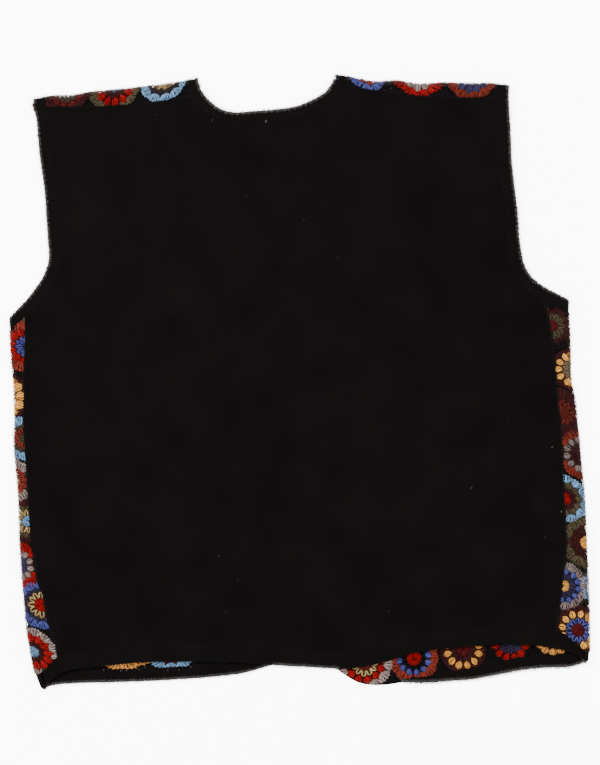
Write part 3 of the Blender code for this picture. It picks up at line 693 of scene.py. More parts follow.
def folded(turn, points):
    """Middle of the front's wall, and its outward direction, for points cut flat."""
    u, v = points[:, 0], points[:, 1]
    start = side_turn(turn, v)
    top = shoulder_turn(turn, u)
    by_side = (turn.sign * (u - start) > 0) & (v - top < -SAG_REACH)
    on, rise, angle = turned(np.where(by_side, turn.sign * (u - start), v - top))
    x = np.where(by_side, start + turn.sign * on, u)
    y = np.where(by_side, v, top + on)
    side_out = np.where(by_side, turn.sign * np.sin(angle), 0)
    top_out = np.where(by_side, 0, np.sin(angle))
    return np.column_stack([x, y, UNDER + rise]), np.column_stack([side_out, top_out, -np.cos(angle)])


def rolled_side(turn, y, past):
    """Flat points of a front at the heights y, some way past the start of the side's fold."""
    return np.column_stack([side_turn(turn, y) + turn.sign * past, y])


def rolled_shoulder(turn, x, past):
    """The same at the places x of the shoulder's fold."""
    return np.column_stack([x, shoulder_turn(turn, x) + past])


def cut_flat_side(turn, line):
    """Points on top of the side fold, as they lie on the front before it is folded."""
    line = np.atleast_2d(line)
    start = side_turn(turn, line[:, 1])
    return np.column_stack([2 * start - line[:, 0] + turn.sign * FOLD_LENGTH, line[:, 1]])


def cut_flat_shoulder(turn, line):
    """Points on top of the shoulder fold, as they lie on the front before it is folded."""
    line = np.atleast_2d(line)
    start = shoulder_turn(turn, line[:, 0])
    return np.column_stack([line[:, 0], 2 * start - line[:, 1] + FOLD_LENGTH])


def front_hem_lines(name):
    """Free edge and seam of a front's hem, ending where the side fold begins."""
    rows = smooth_line(FRONT_HEM[name])
    end = 0 if name == "left" else -1
    for column in (0, 2):
        rows[end, column] = side_turn(TURNS[name], rows[end, column + 1])
    return rows[:, :2], rows[:, 2:]


FRONT_HEM_LINES = {name: front_hem_lines(name) for name in TURNS}
CORNER_LINE = smooth_line(CORNER_ROUND)


def front_outline(name):
    """The cut of a front, flat, with more points wherever its edge runs round a fold."""
    turn = TURNS[name]
    arm_top = past_seam(*ARM_LINES[name])
    near_underarm = arm_top[arm_top[:, 1] < arm_top[-1, 1] + UNDERARM_REACH]
    arm_line = np.vstack([cut_flat_side(turn, near_underarm)[:-1],
                          [arm_top[-1] + (turn.sign * FOLD_LENGTH, 0)],
                          arm_top[::-1],
                          [arm_top[0] + (0, FOLD_LENGTH)],
                          cut_flat_shoulder(turn, arm_top[0] - (0, SHOULDER_REACH))])
    neck_seam = past_seam(*NECK_LINES[name])
    neck_top = past_seam(*NECK_LINES["back"])
    few = round(NECK_REACH / LINE_STEP) + 1
    top_part = neck_top[:few] if name == "left" else neck_top[:-few - 1:-1]
    neck_line = np.vstack([cut_flat_shoulder(turn, top_part[::-1]), neck_seam,
                           neck_seam[-1:] - (0, FOOT_REACH)])
    hem_seam = past_seam(*FRONT_HEM_LINES[name])
    top_hem = past_seam(BACK_HEM_ROWS[:, :2], BACK_HEM_ROWS[:, 2:])
    reach = round(HEM_REACH / LINE_STEP) + 1
    if name == "left":
        corner, low_hem, on_top = hem_seam[0], hem_seam[::-1], top_hem[:reach]
    else:
        corner, on_top = hem_seam[-1], top_hem[:-reach - 1:-1]
        low_hem = np.vstack([CORNER_LINE[::-1], hem_seam[:1] - (2 * SEAM_GAP, 0), hem_seam[1:]])
    hem_line = np.vstack([low_hem, [corner + (turn.sign * FOLD_LENGTH, 0)],
                          cut_flat_side(turn, on_top)])
    seam_line = cut_flat_side(turn, SIDE_SEAM_LINE[name][::-1] + (turn.sign * SEAM_GAP / 2, 0))
    shoulder = cut_flat_shoulder(turn, SHOULDER_SEAM_LINE[name] + (0, SEAM_GAP / 2))
    if name == "right":
        shoulder = shoulder[::-1]
    cut = closed_loop([hem_line, seam_line, arm_line, shoulder, neck_line])
    rows = []
    for start, end in zip(cut, np.roll(cut, -1, axis=0)):
        _, out = folded(turn, np.array([start, end, (start + end) / 2]))
        bends = min(out[0] @ out[1], out[0] @ out[2]) < SAME_WAY
        parts = BEND_PARTS if bends else max(1, math.ceil(np.hypot(*(end - start)) / EDGE_STEP))
        rows += [start + (end - start) * t / parts for t in range(parts)]
    return np.array(rows)


def flat_rounds(name, chance):
    """Every round of a front as it lies flat: middle, ring, wools, and how it is seen."""
    turn = TURNS[name]
    side, by_fold, shoulder = ([cut_flat(turn, (r.x, r.y))[0] for r in group[name]] for cut_flat, group
                               in ((cut_flat_side, SIDE_ROUNDS), (cut_flat_side, FOLD_ROUNDS),
                                   (cut_flat_shoulder, SHOULDER_ROUNDS)))
    on_top = SIDE_ROUNDS[name] + FOLD_ROUNDS[name] + SHOULDER_ROUNDS[name]
    rows = [(r, at, "on top") for r, at in zip(on_top, side + by_fold + shoulder)]
    rows += [(r, np.array((r.x, r.y)), "from inside") for r in HEM_ROUNDS[name]]
    looks = [r[3:] for group in (SIDE_ROUNDS, SHOULDER_ROUNDS) for both in group.values() for r in both]
    inward = -turn.sign * COLUMN
    hidden = []
    for row, start in enumerate(side[:-1]):
        rise = LEFT_RISE if name == "left" else -RIGHT_DROP * row / (len(side) - 1)
        hidden += [start + (inward * k, rise * k) for k in range(1, COLUMNS)]
    low_row = [side[0] + (inward * k, 0) for k in range(COLUMNS)]
    spread = np.array(shoulder)
    pitch = (spread[-1] - spread[0]) / 2
    first = spread[0] if name == "left" else spread[-1]
    step = pitch if name == "left" else -pitch
    skip = 1 if name == "left" else 2
    high_row = [first + step * (k - skip) for k in range(COLUMNS)]
    for row in range(1, 5):
        hidden += [low + (high - low) * row / 5 for low, high in zip(low_row, high_row)]
    for at in hidden:
        if min(np.hypot(*(at - other)) for _, other, _ in rows) < COLUMN / 2:
            continue
        rows.append((Round(*at, chance.uniform(0, 30), *looks[chance.integers(len(looks))]), at, "under"))
    return rows


def unit(ways):
    """The same directions, each one long."""
    return ways / np.linalg.norm(ways, axis=1)[:, None]


def run_along(points):
    """How far along a line each of its points lies."""
    return np.concatenate([[0], np.cumsum(np.linalg.norm(np.diff(points, axis=0), axis=1))])


def strand(path, width, role, spoke=0.0, sides=6):
    """One strand of a round: a tube along its path, with each point's height round the tube, for shade
    painted down its sides.
    """
    path = np.array(path, dtype=float)
    count = len(path)
    along = unit(np.gradient(path, axis=0))
    across = unit(np.cross(along, (0, 0, 1.0)))
    up = np.cross(across, along)
    swell = width * np.sin(math.pi * (np.arange(count) + 0.75) / (count + 0.5)) ** 0.4
    run = run_along(path)
    corners = [path[0] - along[0] * width * 0.35]
    plies = [(0.0, 0.5, 0.25)]
    for i in range(count):
        for turn in (np.arange(sides) + 0.5) / sides:
            lean = math.tau * turn - math.pi / 2
            corners.append(path[i] + swell[i] * (across[i] * math.cos(lean) + up[i] * math.sin(lean)))
            plies.append((run[i], turn, 0.5 + 0.5 * math.sin(lean)))
    corners.append(path[-1] + along[-1] * width * 0.35)
    plies.append((run[-1], 0.5, 0.25))
    faces = [(0, 1 + (j + 1) % sides, 1 + j) for j in range(sides)]
    for i in range(count - 1):
        a = 1 + i * sides
        faces += [(a + j, a + (j + 1) % sides, a + sides + (j + 1) % sides, a + sides + j)
                  for j in range(sides)]
    a = 1 + (count - 1) * sides
    faces += [(a + j, a + (j + 1) % sides, len(corners) - 1) for j in range(sides)]
    return np.array(corners), faces, role, np.array(plies), spoke


def polar(radius, angle, height):
    """A point of a round from its radius, angle and height."""
    return (radius * math.cos(angle), radius * math.sin(angle), height)


def detailed_round():
    """A round's strands: middle, open loops, plump petals and the rim's clusters."""
    strands = []
    for i in range(12):
        a = math.tau * i / 12
        strands.append(strand([polar(r, a + 0.08 * r, h) for r, h in
                               ((0.5, 0.55), (1.9, 0.85), (3.5, 0.9), (5.0, 0.5))], 0.84, 0))
        strands.append(strand([polar(r, a + 0.26 + 0.08 * r, h) for r, h in
                               ((2.9, 0.4), (3.9, 0.7), (4.9, 0.4))], 0.84, 0, 0.0, 5))
    for i in range(12):
        spoke = math.tau * i / 12
        gap = spoke + math.tau / 24
        for lean in (-1, 1):
            strands.append(strand([polar(r, gap + lean * w, h) for r, w, h in
                                   ((5.2, 0.19, 0.25), (6.6, 0.19, 0.8), (8.3, 0.14, 0.95),
                                    (9.8, 0.03, 0.55))], 0.64, 1))
        for lean, long, rise in ((-1, 0.84, 0.8), (-0.34, 1, 1.4), (0.34, 1, 1.35), (1, 0.84, 0.75)):
            strands.append(strand([polar(13.3 + long * (r - 13.3), spoke + lean * w, h * rise)
                                   for r, w, h in ((9.9, 0.05, 0.15), (11.3, 0.155, 0.85),
                                                   (13.3, 0.19, 1.1), (15.2, 0.155, 0.85),
                                                   (16.6, 0.05, 0.2))], 0.80, 2, spoke))
        for lean in (-1, -0.5, 0, 0.5, 1):
            strands.append(strand([polar(r, gap + lean * w, h * (1.1 - 0.3 * abs(lean))) for r, w, h in
                                   ((15.2, 0.07, 0.2), (17.0, 0.175, 0.8), (19.0, 0.235, 1.0),
                                    (20.9 - 0.8 * abs(lean), 0.245, 0.55))], 0.86, 3))
        strands.append(strand([polar(20.5 - 10 * t * t + 0.5 * (-1) ** k, gap + t, 1.0 - 3 * t * t)
                               for k, t in enumerate(np.linspace(-0.25, 0.25, 9))], 0.55, 3, 0.0, 5))
        strands.append(strand([polar(21.4 - 9 * t * t, gap + t, 0.2)
                               for t in (-0.27, -0.14, 0.0, 0.14, 0.27)], 0.5, 4))
    return strands


def plain_round():
    """The same round worked plainly, for the cloth that lies underneath."""
    across_middle = [polar(2.6, 0.4, 0.4), polar(0.1, 0.4, 0.6), polar(2.6, 0.4 + math.pi, 0.4)]
    strands = [strand(across_middle, 2.4, 0)]
    for i in range(12):
        spoke = math.tau * i / 12
        gap = spoke + math.tau / 24
        strands.append(strand([polar(5.6, gap, 0.3), polar(7.6, gap, 0.6), polar(9.4, gap, 0.3)],
                              1.3, 1, 0.0, 5))
        strands.append(strand([polar(10.6, spoke, 0.2), polar(13.3, spoke, 0.7), polar(16.0, spoke, 0.2)],
                              2.5, 2, spoke, 5))
        strands.append(strand([polar(16.2, gap, 0.2), polar(18.4, gap, 0.5), polar(20.8, gap, 0.2)],
                              2.2, 3, 0.0, 5))
    return strands


def joined(strands):
    """Several strands as one set: points, faces by strand, and each point's facts."""
    corners, faces, facts = [], [], []
    first = 0
    for number, (points, cells, role, ply, spoke) in enumerate(strands):
        corners.append(points)
        faces.append([tuple(c + first for c in cell) for cell in cells])
        facts.append(np.column_stack([ply, np.tile((role, spoke, number), (len(points), 1))]))
        first += len(points)
    return np.vstack(corners), faces, np.vstack(facts)


# Painted shade, the light left on the sides of a strand: middle, loops, petals, rim and outline.
# Then the painted shade of the whole middle beside the others, and where the four end in the patterns
# below.
SIDE_LIGHT = (0.38, 0.26, 0.30, 0.28, 0.12)
MIDDLE_LIGHT = 0.74
RING_MARKS = (0.0, 5.2, 10.0, 16.6, 21.4)
PATTERNS = {"fine": joined(detailed_round()), "plain": joined(plain_round())}
FOLD_WORK = {}
# How far strands stray from the pattern, and how uneven their heights and colours are.
STRAY = 0.22
UNEVEN_HEIGHT = 0.08
UNEVEN_DYE = 0.16
# The width that the pattern's petals fill, how much of it laps over the edges of their ring, and
# how much plumper than the pattern's a wide ring may make them.
PETAL_FIT = 7.2
PETAL_LAP = 0.8
PLUMPEST = 1.08
# Painted shade, the light left low down between the strands, and the height where all of it arrives;
# how far strands stand off their ground, and how soon those pressed in at a cut edge lie flat.
LOW_LIGHT = 0.72
LIT_HEIGHT = 1.6
STAND_OFF = 0.25
PRESSED_FLAT = 1.5
# How far out from its middle a round colours the ground.
ROUND_REACH = 24.0


def drawn_in(points, outline):
    """Points outside an outline moved onto it, and how far outside they lay."""
    away = np.zeros(len(points))
    moved = points.copy()
    beyond = np.flatnonzero(~inside(points, outline))
    start, end = outline, np.roll(outline, -1, axis=0)
    run = end - start
    for part in np.array_split(beyond, max(1, len(beyond) // 3000)):
        gap = points[part][:, None, :] - start
        share = np.clip((gap * run).sum(axis=2) / (run ** 2).sum(axis=1), 0, 1)
        spot = start + share[:, :, None] * run
        span = np.hypot(*(points[part][:, None, :] - spot).transpose(2, 0, 1))
        best = span.argmin(axis=1)
        moved[part] = spot[np.arange(len(part)), best]
        away[part] = span[np.arange(len(part)), best]
    return moved, away


def ring_wools(look):
    """The wools of a round's middle, loops, petals and rim, and black for what lies past them."""
    return np.array([YARNS[wool] for wool in (*look.wools.split(), "black")])


def crochet_strands(name, rounds, outline, chance):
    """All strands of a front's rounds as groups: points, faces, colours and plies."""
    turn = TURNS[name]
    groups = {"on top": [], "from inside": [], "under": []}
    for look, at, seen in rounds:
        layers = [("fine", 1)] if seen == "on top" else [("plain", 1)]
        if seen == "from inside":
            layers.append(("fine", -1))
        wools = ring_wools(look)
        for pattern, face in layers:
            corners, faces, facts = PATTERNS[pattern]
            roles, owners = facts[:, 3].astype(int), facts[:, 5].astype(int)
            radius = np.hypot(corners[:, 0], corners[:, 1])
            angle = np.arctan2(corners[:, 1], corners[:, 0])
            plump = look.plump * min(PLUMPEST, (look.ends[2] - look.ends[1] + PETAL_LAP) / PETAL_FIT)
            squeeze = np.where(roles == 2, plump, 1.0)
            off = np.angle(np.exp(1j * (angle - facts[:, 4])))
            angle = np.where(roles == 2, facts[:, 4] + off * squeeze, angle)
            angle = angle + math.radians(look.start)
            radius = (np.interp(radius, RING_MARKS, (0.0, *look.ends))
                      + np.clip(radius - RING_MARKS[-1], 0, None))
            in_rim = np.clip((radius - look.ends[2]) / (look.ends[3] - look.ends[2]), 0, 1)
            sideways = radius * np.cos(angle) * (1 + (look.wide - 1) * in_rim)
            spots = at + np.column_stack([sideways, radius * np.sin(angle)])
            count = owners.max() + 1
            centres = np.column_stack([np.bincount(owners, spots[:, k]) for k in (0, 1)])
            centres /= np.bincount(owners)[:, None]
            keep = inside(centres, outline)
            if not keep.any():
                continue
            spots = spots + chance.normal(0, STRAY, (count, 2))[owners]
            height = corners[:, 2] * chance.normal(1, UNEVEN_HEIGHT, count)[owners] * squeeze ** 0.5 * face
            # Shade painted into each strand's colour: darker down its sides, low between strands and over
            # the whole middle.
            deep = np.array(SIDE_LIGHT)[roles]
            shade = deep + (1 - deep) * facts[:, 2] ** 1.2
            shade *= LOW_LIGHT + (1 - LOW_LIGHT) * np.clip(corners[:, 2] / LIT_HEIGHT, 0, 1)
            shade = np.where(roles == 0, MIDDLE_LIGHT * shade, shade)
            colour = wools[roles]
            colour[:, :3] *= (shade * chance.normal(1, UNEVEN_DYE, count)[owners])[:, None]
            kept = keep[owners]
            number = np.cumsum(kept) - 1
            cells = []
            for strand_faces, wanted in zip(faces, keep):
                if wanted:
                    cells += [tuple(number[c] for c in (cell if face > 0 else cell[::-1]))
                              for cell in strand_faces]
            groups[seen if pattern == "fine" else "under"].append(
                (spots[kept], height[kept], colour[kept], facts[kept, :3], cells))
    made = {}
    for seen, parts in groups.items():
        if not parts:
            continue
        spots, height, colour, plies = (np.concatenate([part[k] for part in parts]) for k in range(4))
        faces, first = [], 0
        for part in parts:
            faces += [tuple(c + first for c in cell) for cell in part[4]]
            first += len(part[0])
        spots, away = drawn_in(spots, outline)
        height = height * np.exp(-away / PRESSED_FLAT)
        height += STAND_OFF * np.sign(height)
        middle, outward = folded(turn, spots)
        made[seen] = (middle + outward * height[:, None], faces, colour, plies)
    return made


def ground_points(rounds):
    """Points of the ground under the strands, in rings round each middle."""
    spots = []
    for look, at, _ in rounds:
        a, b, c, out = look.ends
        for radius, count in zip((0.01, a * 0.6, a, (a + b) / 2, b, (b + c) / 2, c, out - 2, out),
                                 (1, 8, 12, 14, 18, 20, 22, 28, 30)):
            angle = math.tau * np.arange(count) / count
            spots.append(at + radius * np.column_stack([np.cos(angle), np.sin(angle)]))
    return np.vstack(spots)


def ground_colours(points, rounds, shaded=True):
    """Each ring's wool at flat points, for the ground as dim as a shadow makes it."""
    colour = np.tile(YARNS["black"], (len(points), 1))
    best = np.full(len(points), ROUND_REACH)
    for look, at, _ in rounds:
        radius = np.hypot(*(points - at).T)
        near = radius < best
        best[near] = radius[near]
        zone = np.digitize(radius, (*look.ends[:3], look.ends[3] - 1))
        wools = ring_wools(look)
        if shaded:
            wools[:, :3] *= np.minimum(0.8, SHADE_LIGHT / wools[:, :3].max(axis=1))[:, None]
        colour[near] = wools[zone][near]
    return colour


def crochet_material():
    """Wool in the colour that each strand carries, with the twist of its plies."""
    material, start, shader = finish_material("crochet_wool", 0.9, 0.03, (1, 0.95, 0.9, 1))
    wool = start.add("ShaderNodeAttribute", {"attribute_name": "wool"}, out="Color")
    ply = start.add("ShaderNodeAttribute", {"attribute_name": "ply"}, out="Vector")
    place = start.add("ShaderNodeTexCoord", out="Object")
    parts = start.add("ShaderNodeSeparateXYZ", {}, {0: ply})
    twist = parts.sum("SINE", parts * 3.1 + parts.output(1) * math.tau * 2)
    fibres = noise(start, place, 2600.0, 3.0)
    patches = noise(start, place, 160.0, 2.0)
    grain = noise(start, place, 620.0, 2.0)
    light = patches * 0.3 + grain * 1.7 + fibres * 0.5 + twist * 0.18 - 0.2
    grey = start.add("ShaderNodeCombineColor", {}, {0: light, 1: light, 2: light})
    colour = start.mixed(1.0, wool, grey, "MULTIPLY")
    surface(shader, start, colour, twist * 0.5 + fibres * 0.6, 0.28, 0.8)
    return material


def wool_piece(name, corners, faces, colour, plies):
    """A piece of strands, with the wool and the ply of each of its points."""
    return made_piece(name, corners, faces, crochet_wool,
                      {"wool": ("FLOAT_COLOR", colour), "ply": ("FLOAT_VECTOR", plies)})


# Points of the ground: how far apart along the folds, how near the others may come to those, and
# how near all may come to the edge.
BEND_STEP = 6.0
NEAR_BEND = 1.6
NEAR_EDGE = 0.7
crochet_wool = crochet_material()
for name, turn in TURNS.items():
    chance = np.random.default_rng(41 if name == "left" else 52)
    outline = front_outline(name)
    rounds = flat_rounds(name, chance)
    FOLD_WORK[name] = (rounds, outline)
    bends = []
    for step in range(FOLD_STEPS + 1):
        past = FOLD_LENGTH * step / FOLD_STEPS
        bends.append(rolled_side(turn, np.arange(-272, 64, BEND_STEP), past))
        bends.append(rolled_shoulder(turn, np.arange(-244, 244, BEND_STEP), past))
    bends = np.vstack(bends)
    ground = ground_points(rounds)
    ground = ground[nearest(ground, [bends]) >= NEAR_BEND]
    spread = clear_points(np.vstack([bends, ground]), outline, NEAR_EDGE)
    front = cloth_piece(f"front_{name}_ground", outline, spread, spread,
                        lambda flat: folded(turn, flat), GROUND_WALL, crochet_wool,
                        lambda flat: ground_colours(flat, rounds))
    for seen, parts in crochet_strands(name, rounds, outline, chance).items():
        piece = wool_piece(f"rounds_{name}_{seen.replace(' ', '_')}", *parts)
        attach(piece, "root")
    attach(front, "root")
    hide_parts(f"front_{name}")

# The seams
# The back is sewn to both fronts along the side and shoulder folds with black wool, in small
# slanting stitches that pass over the join and close it.
STITCH_PITCH = 2.6
STITCH_REACH = 1.5
STITCH_WOOL = 0.62
# Way across the seam and height of a stitch's points, and how near the back's edge it has to be.
STITCH_PATH = ((-1, -0.7), (-0.55, 0.15), (0, 0.35), (0.55, 0.15), (1, -0.7))
AT_EDGE = 1.0


def sewn_line(name, line):
    """Slanting stitches along the part of a line where the back is sewn."""
    line = even_rows(line, STITCH_PITCH)
    line = line[nearest(line, [even_rows(BACK_CUT, AT_EDGE / 2)]) < AT_EDGE]
    along = np.gradient(line, axis=0)
    along /= np.hypot(*along.T)[:, None]
    height = top_height(line) + KNIT_WALL / 2
    chance = np.random.default_rng(len(line))
    stitches = []
    for spot, way, z in zip(line, along, height):
        side = np.array([-way[1], way[0]])
        lean = way * STITCH_PITCH * chance.uniform(0.3, 0.5)
        path = [(*(spot + side * STITCH_REACH * reach + lean * reach), z + rise)
                for reach, rise in STITCH_PATH]
        stitches.append(strand(path, STITCH_WOOL, 0))
    corners, faces, facts = joined(stitches)
    colour = np.tile(YARNS["black"], (len(corners), 1))
    # Shade painted down the sides of each stitch.
    colour[:, :3] *= 0.4 + 0.9 * facts[:, 2:3]
    piece = wool_piece(name, corners, sum(faces, []), colour, facts[:, :3])
    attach(piece, "root")


for name in TURNS:
    sewn_line(f"side_seam_{name}", SIDE_SEAM_LINE[name])
    sewn_line(f"shoulder_seam_{name}", SHOULDER_SEAM_LINE[name])

# The bands
# Armholes, neck and front edges are finished with a firm black ribbed band, about 10 mm wide,
# worked on after the panels were joined, and it runs over both folds in one piece.
BAND_WALL = 2.4
ARM_RIB = 4.8
NECK_RIB = 5.2
HEM_RIB = 2.62
RIB_STATIONS = 6
BAND_LAP = 1.1
# Section of a band: share of its width from the free edge, height in walls, shares of rise and tip.
BAND_SECTION = [(0.10, -0.50, 0.3, 0.2), (0.03, -0.30, 0.2, 0.7), (0.0, 0.0, 0.1, 1.0),
                (0.03, 0.28, 0.5, 0.8), (0.10, 0.46, 0.9, 0.3), (0.22, 0.54, 1.0, 0.0),
                (0.36, 0.50, 0.9, 0.0), (0.52, 0.44, 0.8, 0.0), (0.66, 0.48, 0.9, 0.0),
                (0.80, 0.48, 0.8, 0.0), (0.92, 0.41, 0.4, 0.0), (1.0, 0.30, 0.1, 0.0),
                (1.0, -0.36, 0.1, 0.0), (0.92, -0.50, 0.3, 0.0), (0.5, -0.50, 0.3, 0.0)]
Stations = namedtuple("Stations", "edge seam up")
FREE_EDGES = {}
# The stretch of the back's hem, in x, with no front under it.
OPEN_HEM = (-24.0, 36.0)
# Painted light at a free edge, where light shines through its hairs, and how far in it reaches.
PAINTED_EDGE_LIGHT = (0.052, 0.046, 0.0435, 1)
EDGE_REACH = 1.3


def on_top(edge, seam):
    """Stations of a band that lies on top, at the points of its lines."""
    places, up = laid(edge)
    return Stations(places, laid(seam)[0], up)


def beneath(edge, seam, up=-1.0):
    """Stations of a band that lies on the surface, its outside down unless told."""
    height = np.full((len(edge), 1), UNDER)
    return Stations(np.hstack([edge, height]), np.hstack([seam, height]),
                    np.tile((0.0, 0.0, up), (len(edge), 1)))


def round_fold(turn, edge, seam, side, flip=1.0, drop=0.0):
    """Stations that carry a band over the front's fold, from the lower layer up."""
    past = FOLD_LENGTH * np.arange(1, FOLD_STEPS) / FOLD_STEPS
    rows = []
    for (x, y), lower in ((edge, drop), (seam, 0)):
        if side:
            flat = rolled_side(turn, y - lower * np.sin(past / FOLD_RADIUS), past)
        else:
            flat = rolled_shoulder(turn, np.full(len(past), x), past)
        rows.append(folded(turn, flat))
    return Stations(rows[0][0], rows[1][0], rows[0][1] * flip)


def chained(*parts):
    """Several stretches of stations as one."""
    return Stations(*(np.vstack([getattr(part, field) for part in parts]) for field in Stations._fields))


def backwards(stations):
    """The same stations in the opposite order."""
    return Stations(*(field[::-1] for field in stations))


def band_piece(name, stations, closed, pitch, rise, tip):
    """A ribbed band swept along its stations, with even ribs from end to end."""
    table = np.hstack(stations)
    if closed:
        table = np.vstack([table, table[:1]])
    run = run_along(table[:, :3])
    at = np.linspace(0, run[-1], round(run[-1] / pitch) * RIB_STATIONS + 1)
    if closed:
        at = at[:-1]
    rows = np.column_stack([np.interp(at, run, column) for column in table.T])
    edge, up = rows[:, :3], unit(rows[:, 6:])
    inward = rows[:, 3:6] - edge
    width = np.linalg.norm(inward, axis=1)[:, None]
    inward = inward / width
    rib = (0.5 - 0.5 * np.cos(math.tau * np.arange(len(at)) / RIB_STATIONS)) ** 0.75
    wobble = 1 + 0.18 * np.sin(at * 0.13) + 0.12 * np.sin(at * 0.41 + 1)
    rib = (rib * wobble)[:, None]
    lit = np.ones(len(at))
    if name == "hem_rib_back":
        lit = ((edge[:, 0] > OPEN_HEM[0]) & (edge[:, 0] < OPEN_HEM[1])) * 1.0
    corners, plies = [], []
    for share, height, lift, reach in BAND_SECTION:
        corners.append(edge + inward * ((width + BAND_LAP) * share - tip * reach * rib)
                       + up * (height * BAND_WALL + math.copysign(rise * lift, height) * rib))
        plies.append(np.column_stack([at / pitch, width[:, 0] * share, lit]))
    sides = len(BAND_SECTION)
    corners = np.stack(corners, axis=1).reshape(-1, 3)
    plies = np.stack(plies, axis=1).reshape(-1, 3)
    faces = []
    total = len(at)
    for i in range(total if closed else total - 1):
        j = (i + 1) % total
        for k in range(sides):
            m = (k + 1) % sides
            faces.append((i * sides + k, i * sides + m, j * sides + m, j * sides + k))
    if not closed:
        faces.append(tuple(range(sides))[::-1])
        faces.append(tuple((total - 1) * sides + k for k in range(sides)))
    twist = np.cross(edge[1] - edge[0], inward[0]) @ up[0]
    if twist > 0:
        faces = [face[::-1] for face in faces]
    piece = made_piece(name, corners, faces, black_rib, {"ply": ("FLOAT_VECTOR", plies)})
    FREE_EDGES[name] = (edge, inward, up, width, lit, run[-1])
    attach(piece, "root")
    return piece


def rib_material():
    """Black ribbing: each rib is a column of small knit legs, a little fuzzy."""
    material, start, shader = finish_material("black_rib", 0.95, 0.012, (1, 0.88, 0.84, 1))
    ply = start.add("ShaderNodeAttribute", {"attribute_name": "ply"}, out="Vector")
    place = start.add("ShaderNodeTexCoord", out="Object")
    parts = start.add("ShaderNodeSeparateXYZ", {}, {0: ply})
    across = parts.output(1)
    stitch = knit_stitches(parts, across, 1.0, 1.7)
    fibres = noise(start, place, 2400.0, 3.0)
    patches = noise(start, place, 45.0, 2.0)
    # The last figure is the shade painted between the rib's stitches.
    colour = faded_knit(start, patches * 0.7 + fibres * 0.5 - 0.2, stitch, 0.4)
    # Light painted on the band's free edge, only where the band is lit.
    painted_light = (1 - across / EDGE_REACH) * parts.output(2) * 0.8
    colour = start.mixed(painted_light, colour, PAINTED_EDGE_LIGHT)
    surface(shader, start, colour, stitch + fibres * 0.3, 0.45, 0.7)
    return material


black_rib = rib_material()
for name, turn in TURNS.items():
    edge, seam = ARM_LINES[name]
    stations = chained(on_top(edge, seam),
                       backwards(round_fold(turn, edge[-1], seam[-1], side=True,
                                            drop=edge[-1, 1] - ARM_EDGE[name][-1][1])),
                       beneath(edge[::-1], seam[::-1]),
                       round_fold(turn, edge[0], seam[0], side=False))
    piece = band_piece(f"armhole_rib_{name}", stations, True, ARM_RIB, 0.5, 0.35)
    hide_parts(f"armhole_band_{name}")

left_edge, left_seam = NECK_LINES["left"]
edge, seam = NECK_LINES["back"]
stations = chained(beneath(left_edge[::-1], left_seam[::-1]),
                   round_fold(TURNS["left"], left_edge[0], left_seam[0], side=False),
                   on_top(edge, seam),
                   backwards(round_fold(TURNS["right"], edge[-1], seam[-1], side=False)),
                   beneath(*NECK_LINES["right"]))
piece = band_piece("neck_rib", stations, False, NECK_RIB, 0.5, 0.35)
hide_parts("neck_band")

# The hems
# The back's hem and the two front hems are single rib, knitted on below the panels. The front
# hems are seen from inside, and their outer ends turn over with the side folds.
HEM_TAIL = 1.5
stations = on_top(BACK_HEM_ROWS[:, :2], BACK_HEM_ROWS[:, 2:])
piece = band_piece("hem_rib_back", stations, False, HEM_RIB, 0.5, 0.45)
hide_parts("hem_band_back")
for name, turn in TURNS.items():
    edge, seam = FRONT_HEM_LINES[name]
    end = 0 if name == "left" else -1
    corner = round_fold(turn, edge[end], seam[end], side=True, flip=-1.0)
    heights = np.array([edge[end, 1], seam[end, 1]])
    tips, out = folded(turn, rolled_side(turn, heights, FOLD_LENGTH + HEM_TAIL))
    corner = chained(corner, Stations(tips[:1], tips[1:], -out[:1]))
    flat = beneath(edge, seam, up=1.0)
    stations = chained(backwards(corner), flat) if name == "left" else chained(flat, corner)
    piece = band_piece(f"hem_rib_front_{name}", stations, False, HEM_RIB, 0.4, 0.45)
    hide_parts(f"hem_band_front_{name}")

# The fuzz
# Brushed wool is hairy: short fibres stand out from the free edges of the bands and from the
# rounds, most of all where they turn over the folds. A little pale lint has caught on the back.

# Black wool on the band and, painted lighter where light shines through it, at its edge. Painted light
# added at the folds.
HAIR_ROOT = (0.0050, 0.0040, 0.0038, 1)
HAIR_TIP = (0.092, 0.082, 0.078, 1)
EDGE_FADE = 0.8
SIDE_GLOW = (0.120, 0.062, 0.050, 0)
SHOULDER_GLOW = (0.150, 0.122, 0.116, 0)
PAINTED_FOLD_LIGHT = 0.7
TIP_GLOW = 0.3
# A hair's width, how much of it tapers off, where a long one bends and how far, how many are long,
# and how unevenly they are lit.
HAIR_WIDE = 0.15
HAIR_TAPER = 0.3
HAIR_BEND = 0.55
CURL = 0.32
LONG_HAIRS = 0.2
HAIR_LIGHT = (0.6, 1.4)
# Hairs of a band root this far in from its edge, and up to so much further. Those of the outermost
# part lean either way, the others up. Hairs at the folds splay by so much, and those of a round
# root this far out from the middle of the cloth.
HAIR_START = 0.4
HAIR_DEPTH = 3.0
EDGE_DEPTH = 0.9
EDGE_LEAN = 0.45
UP_LEAN = (0.15, 0.6)
SPLAY = 0.4
ROOT_RISE = 1.2
# Where a band counts as turning over, and where a front counts as facing down.
TURNING = 0.9
FACING_DOWN = -0.8
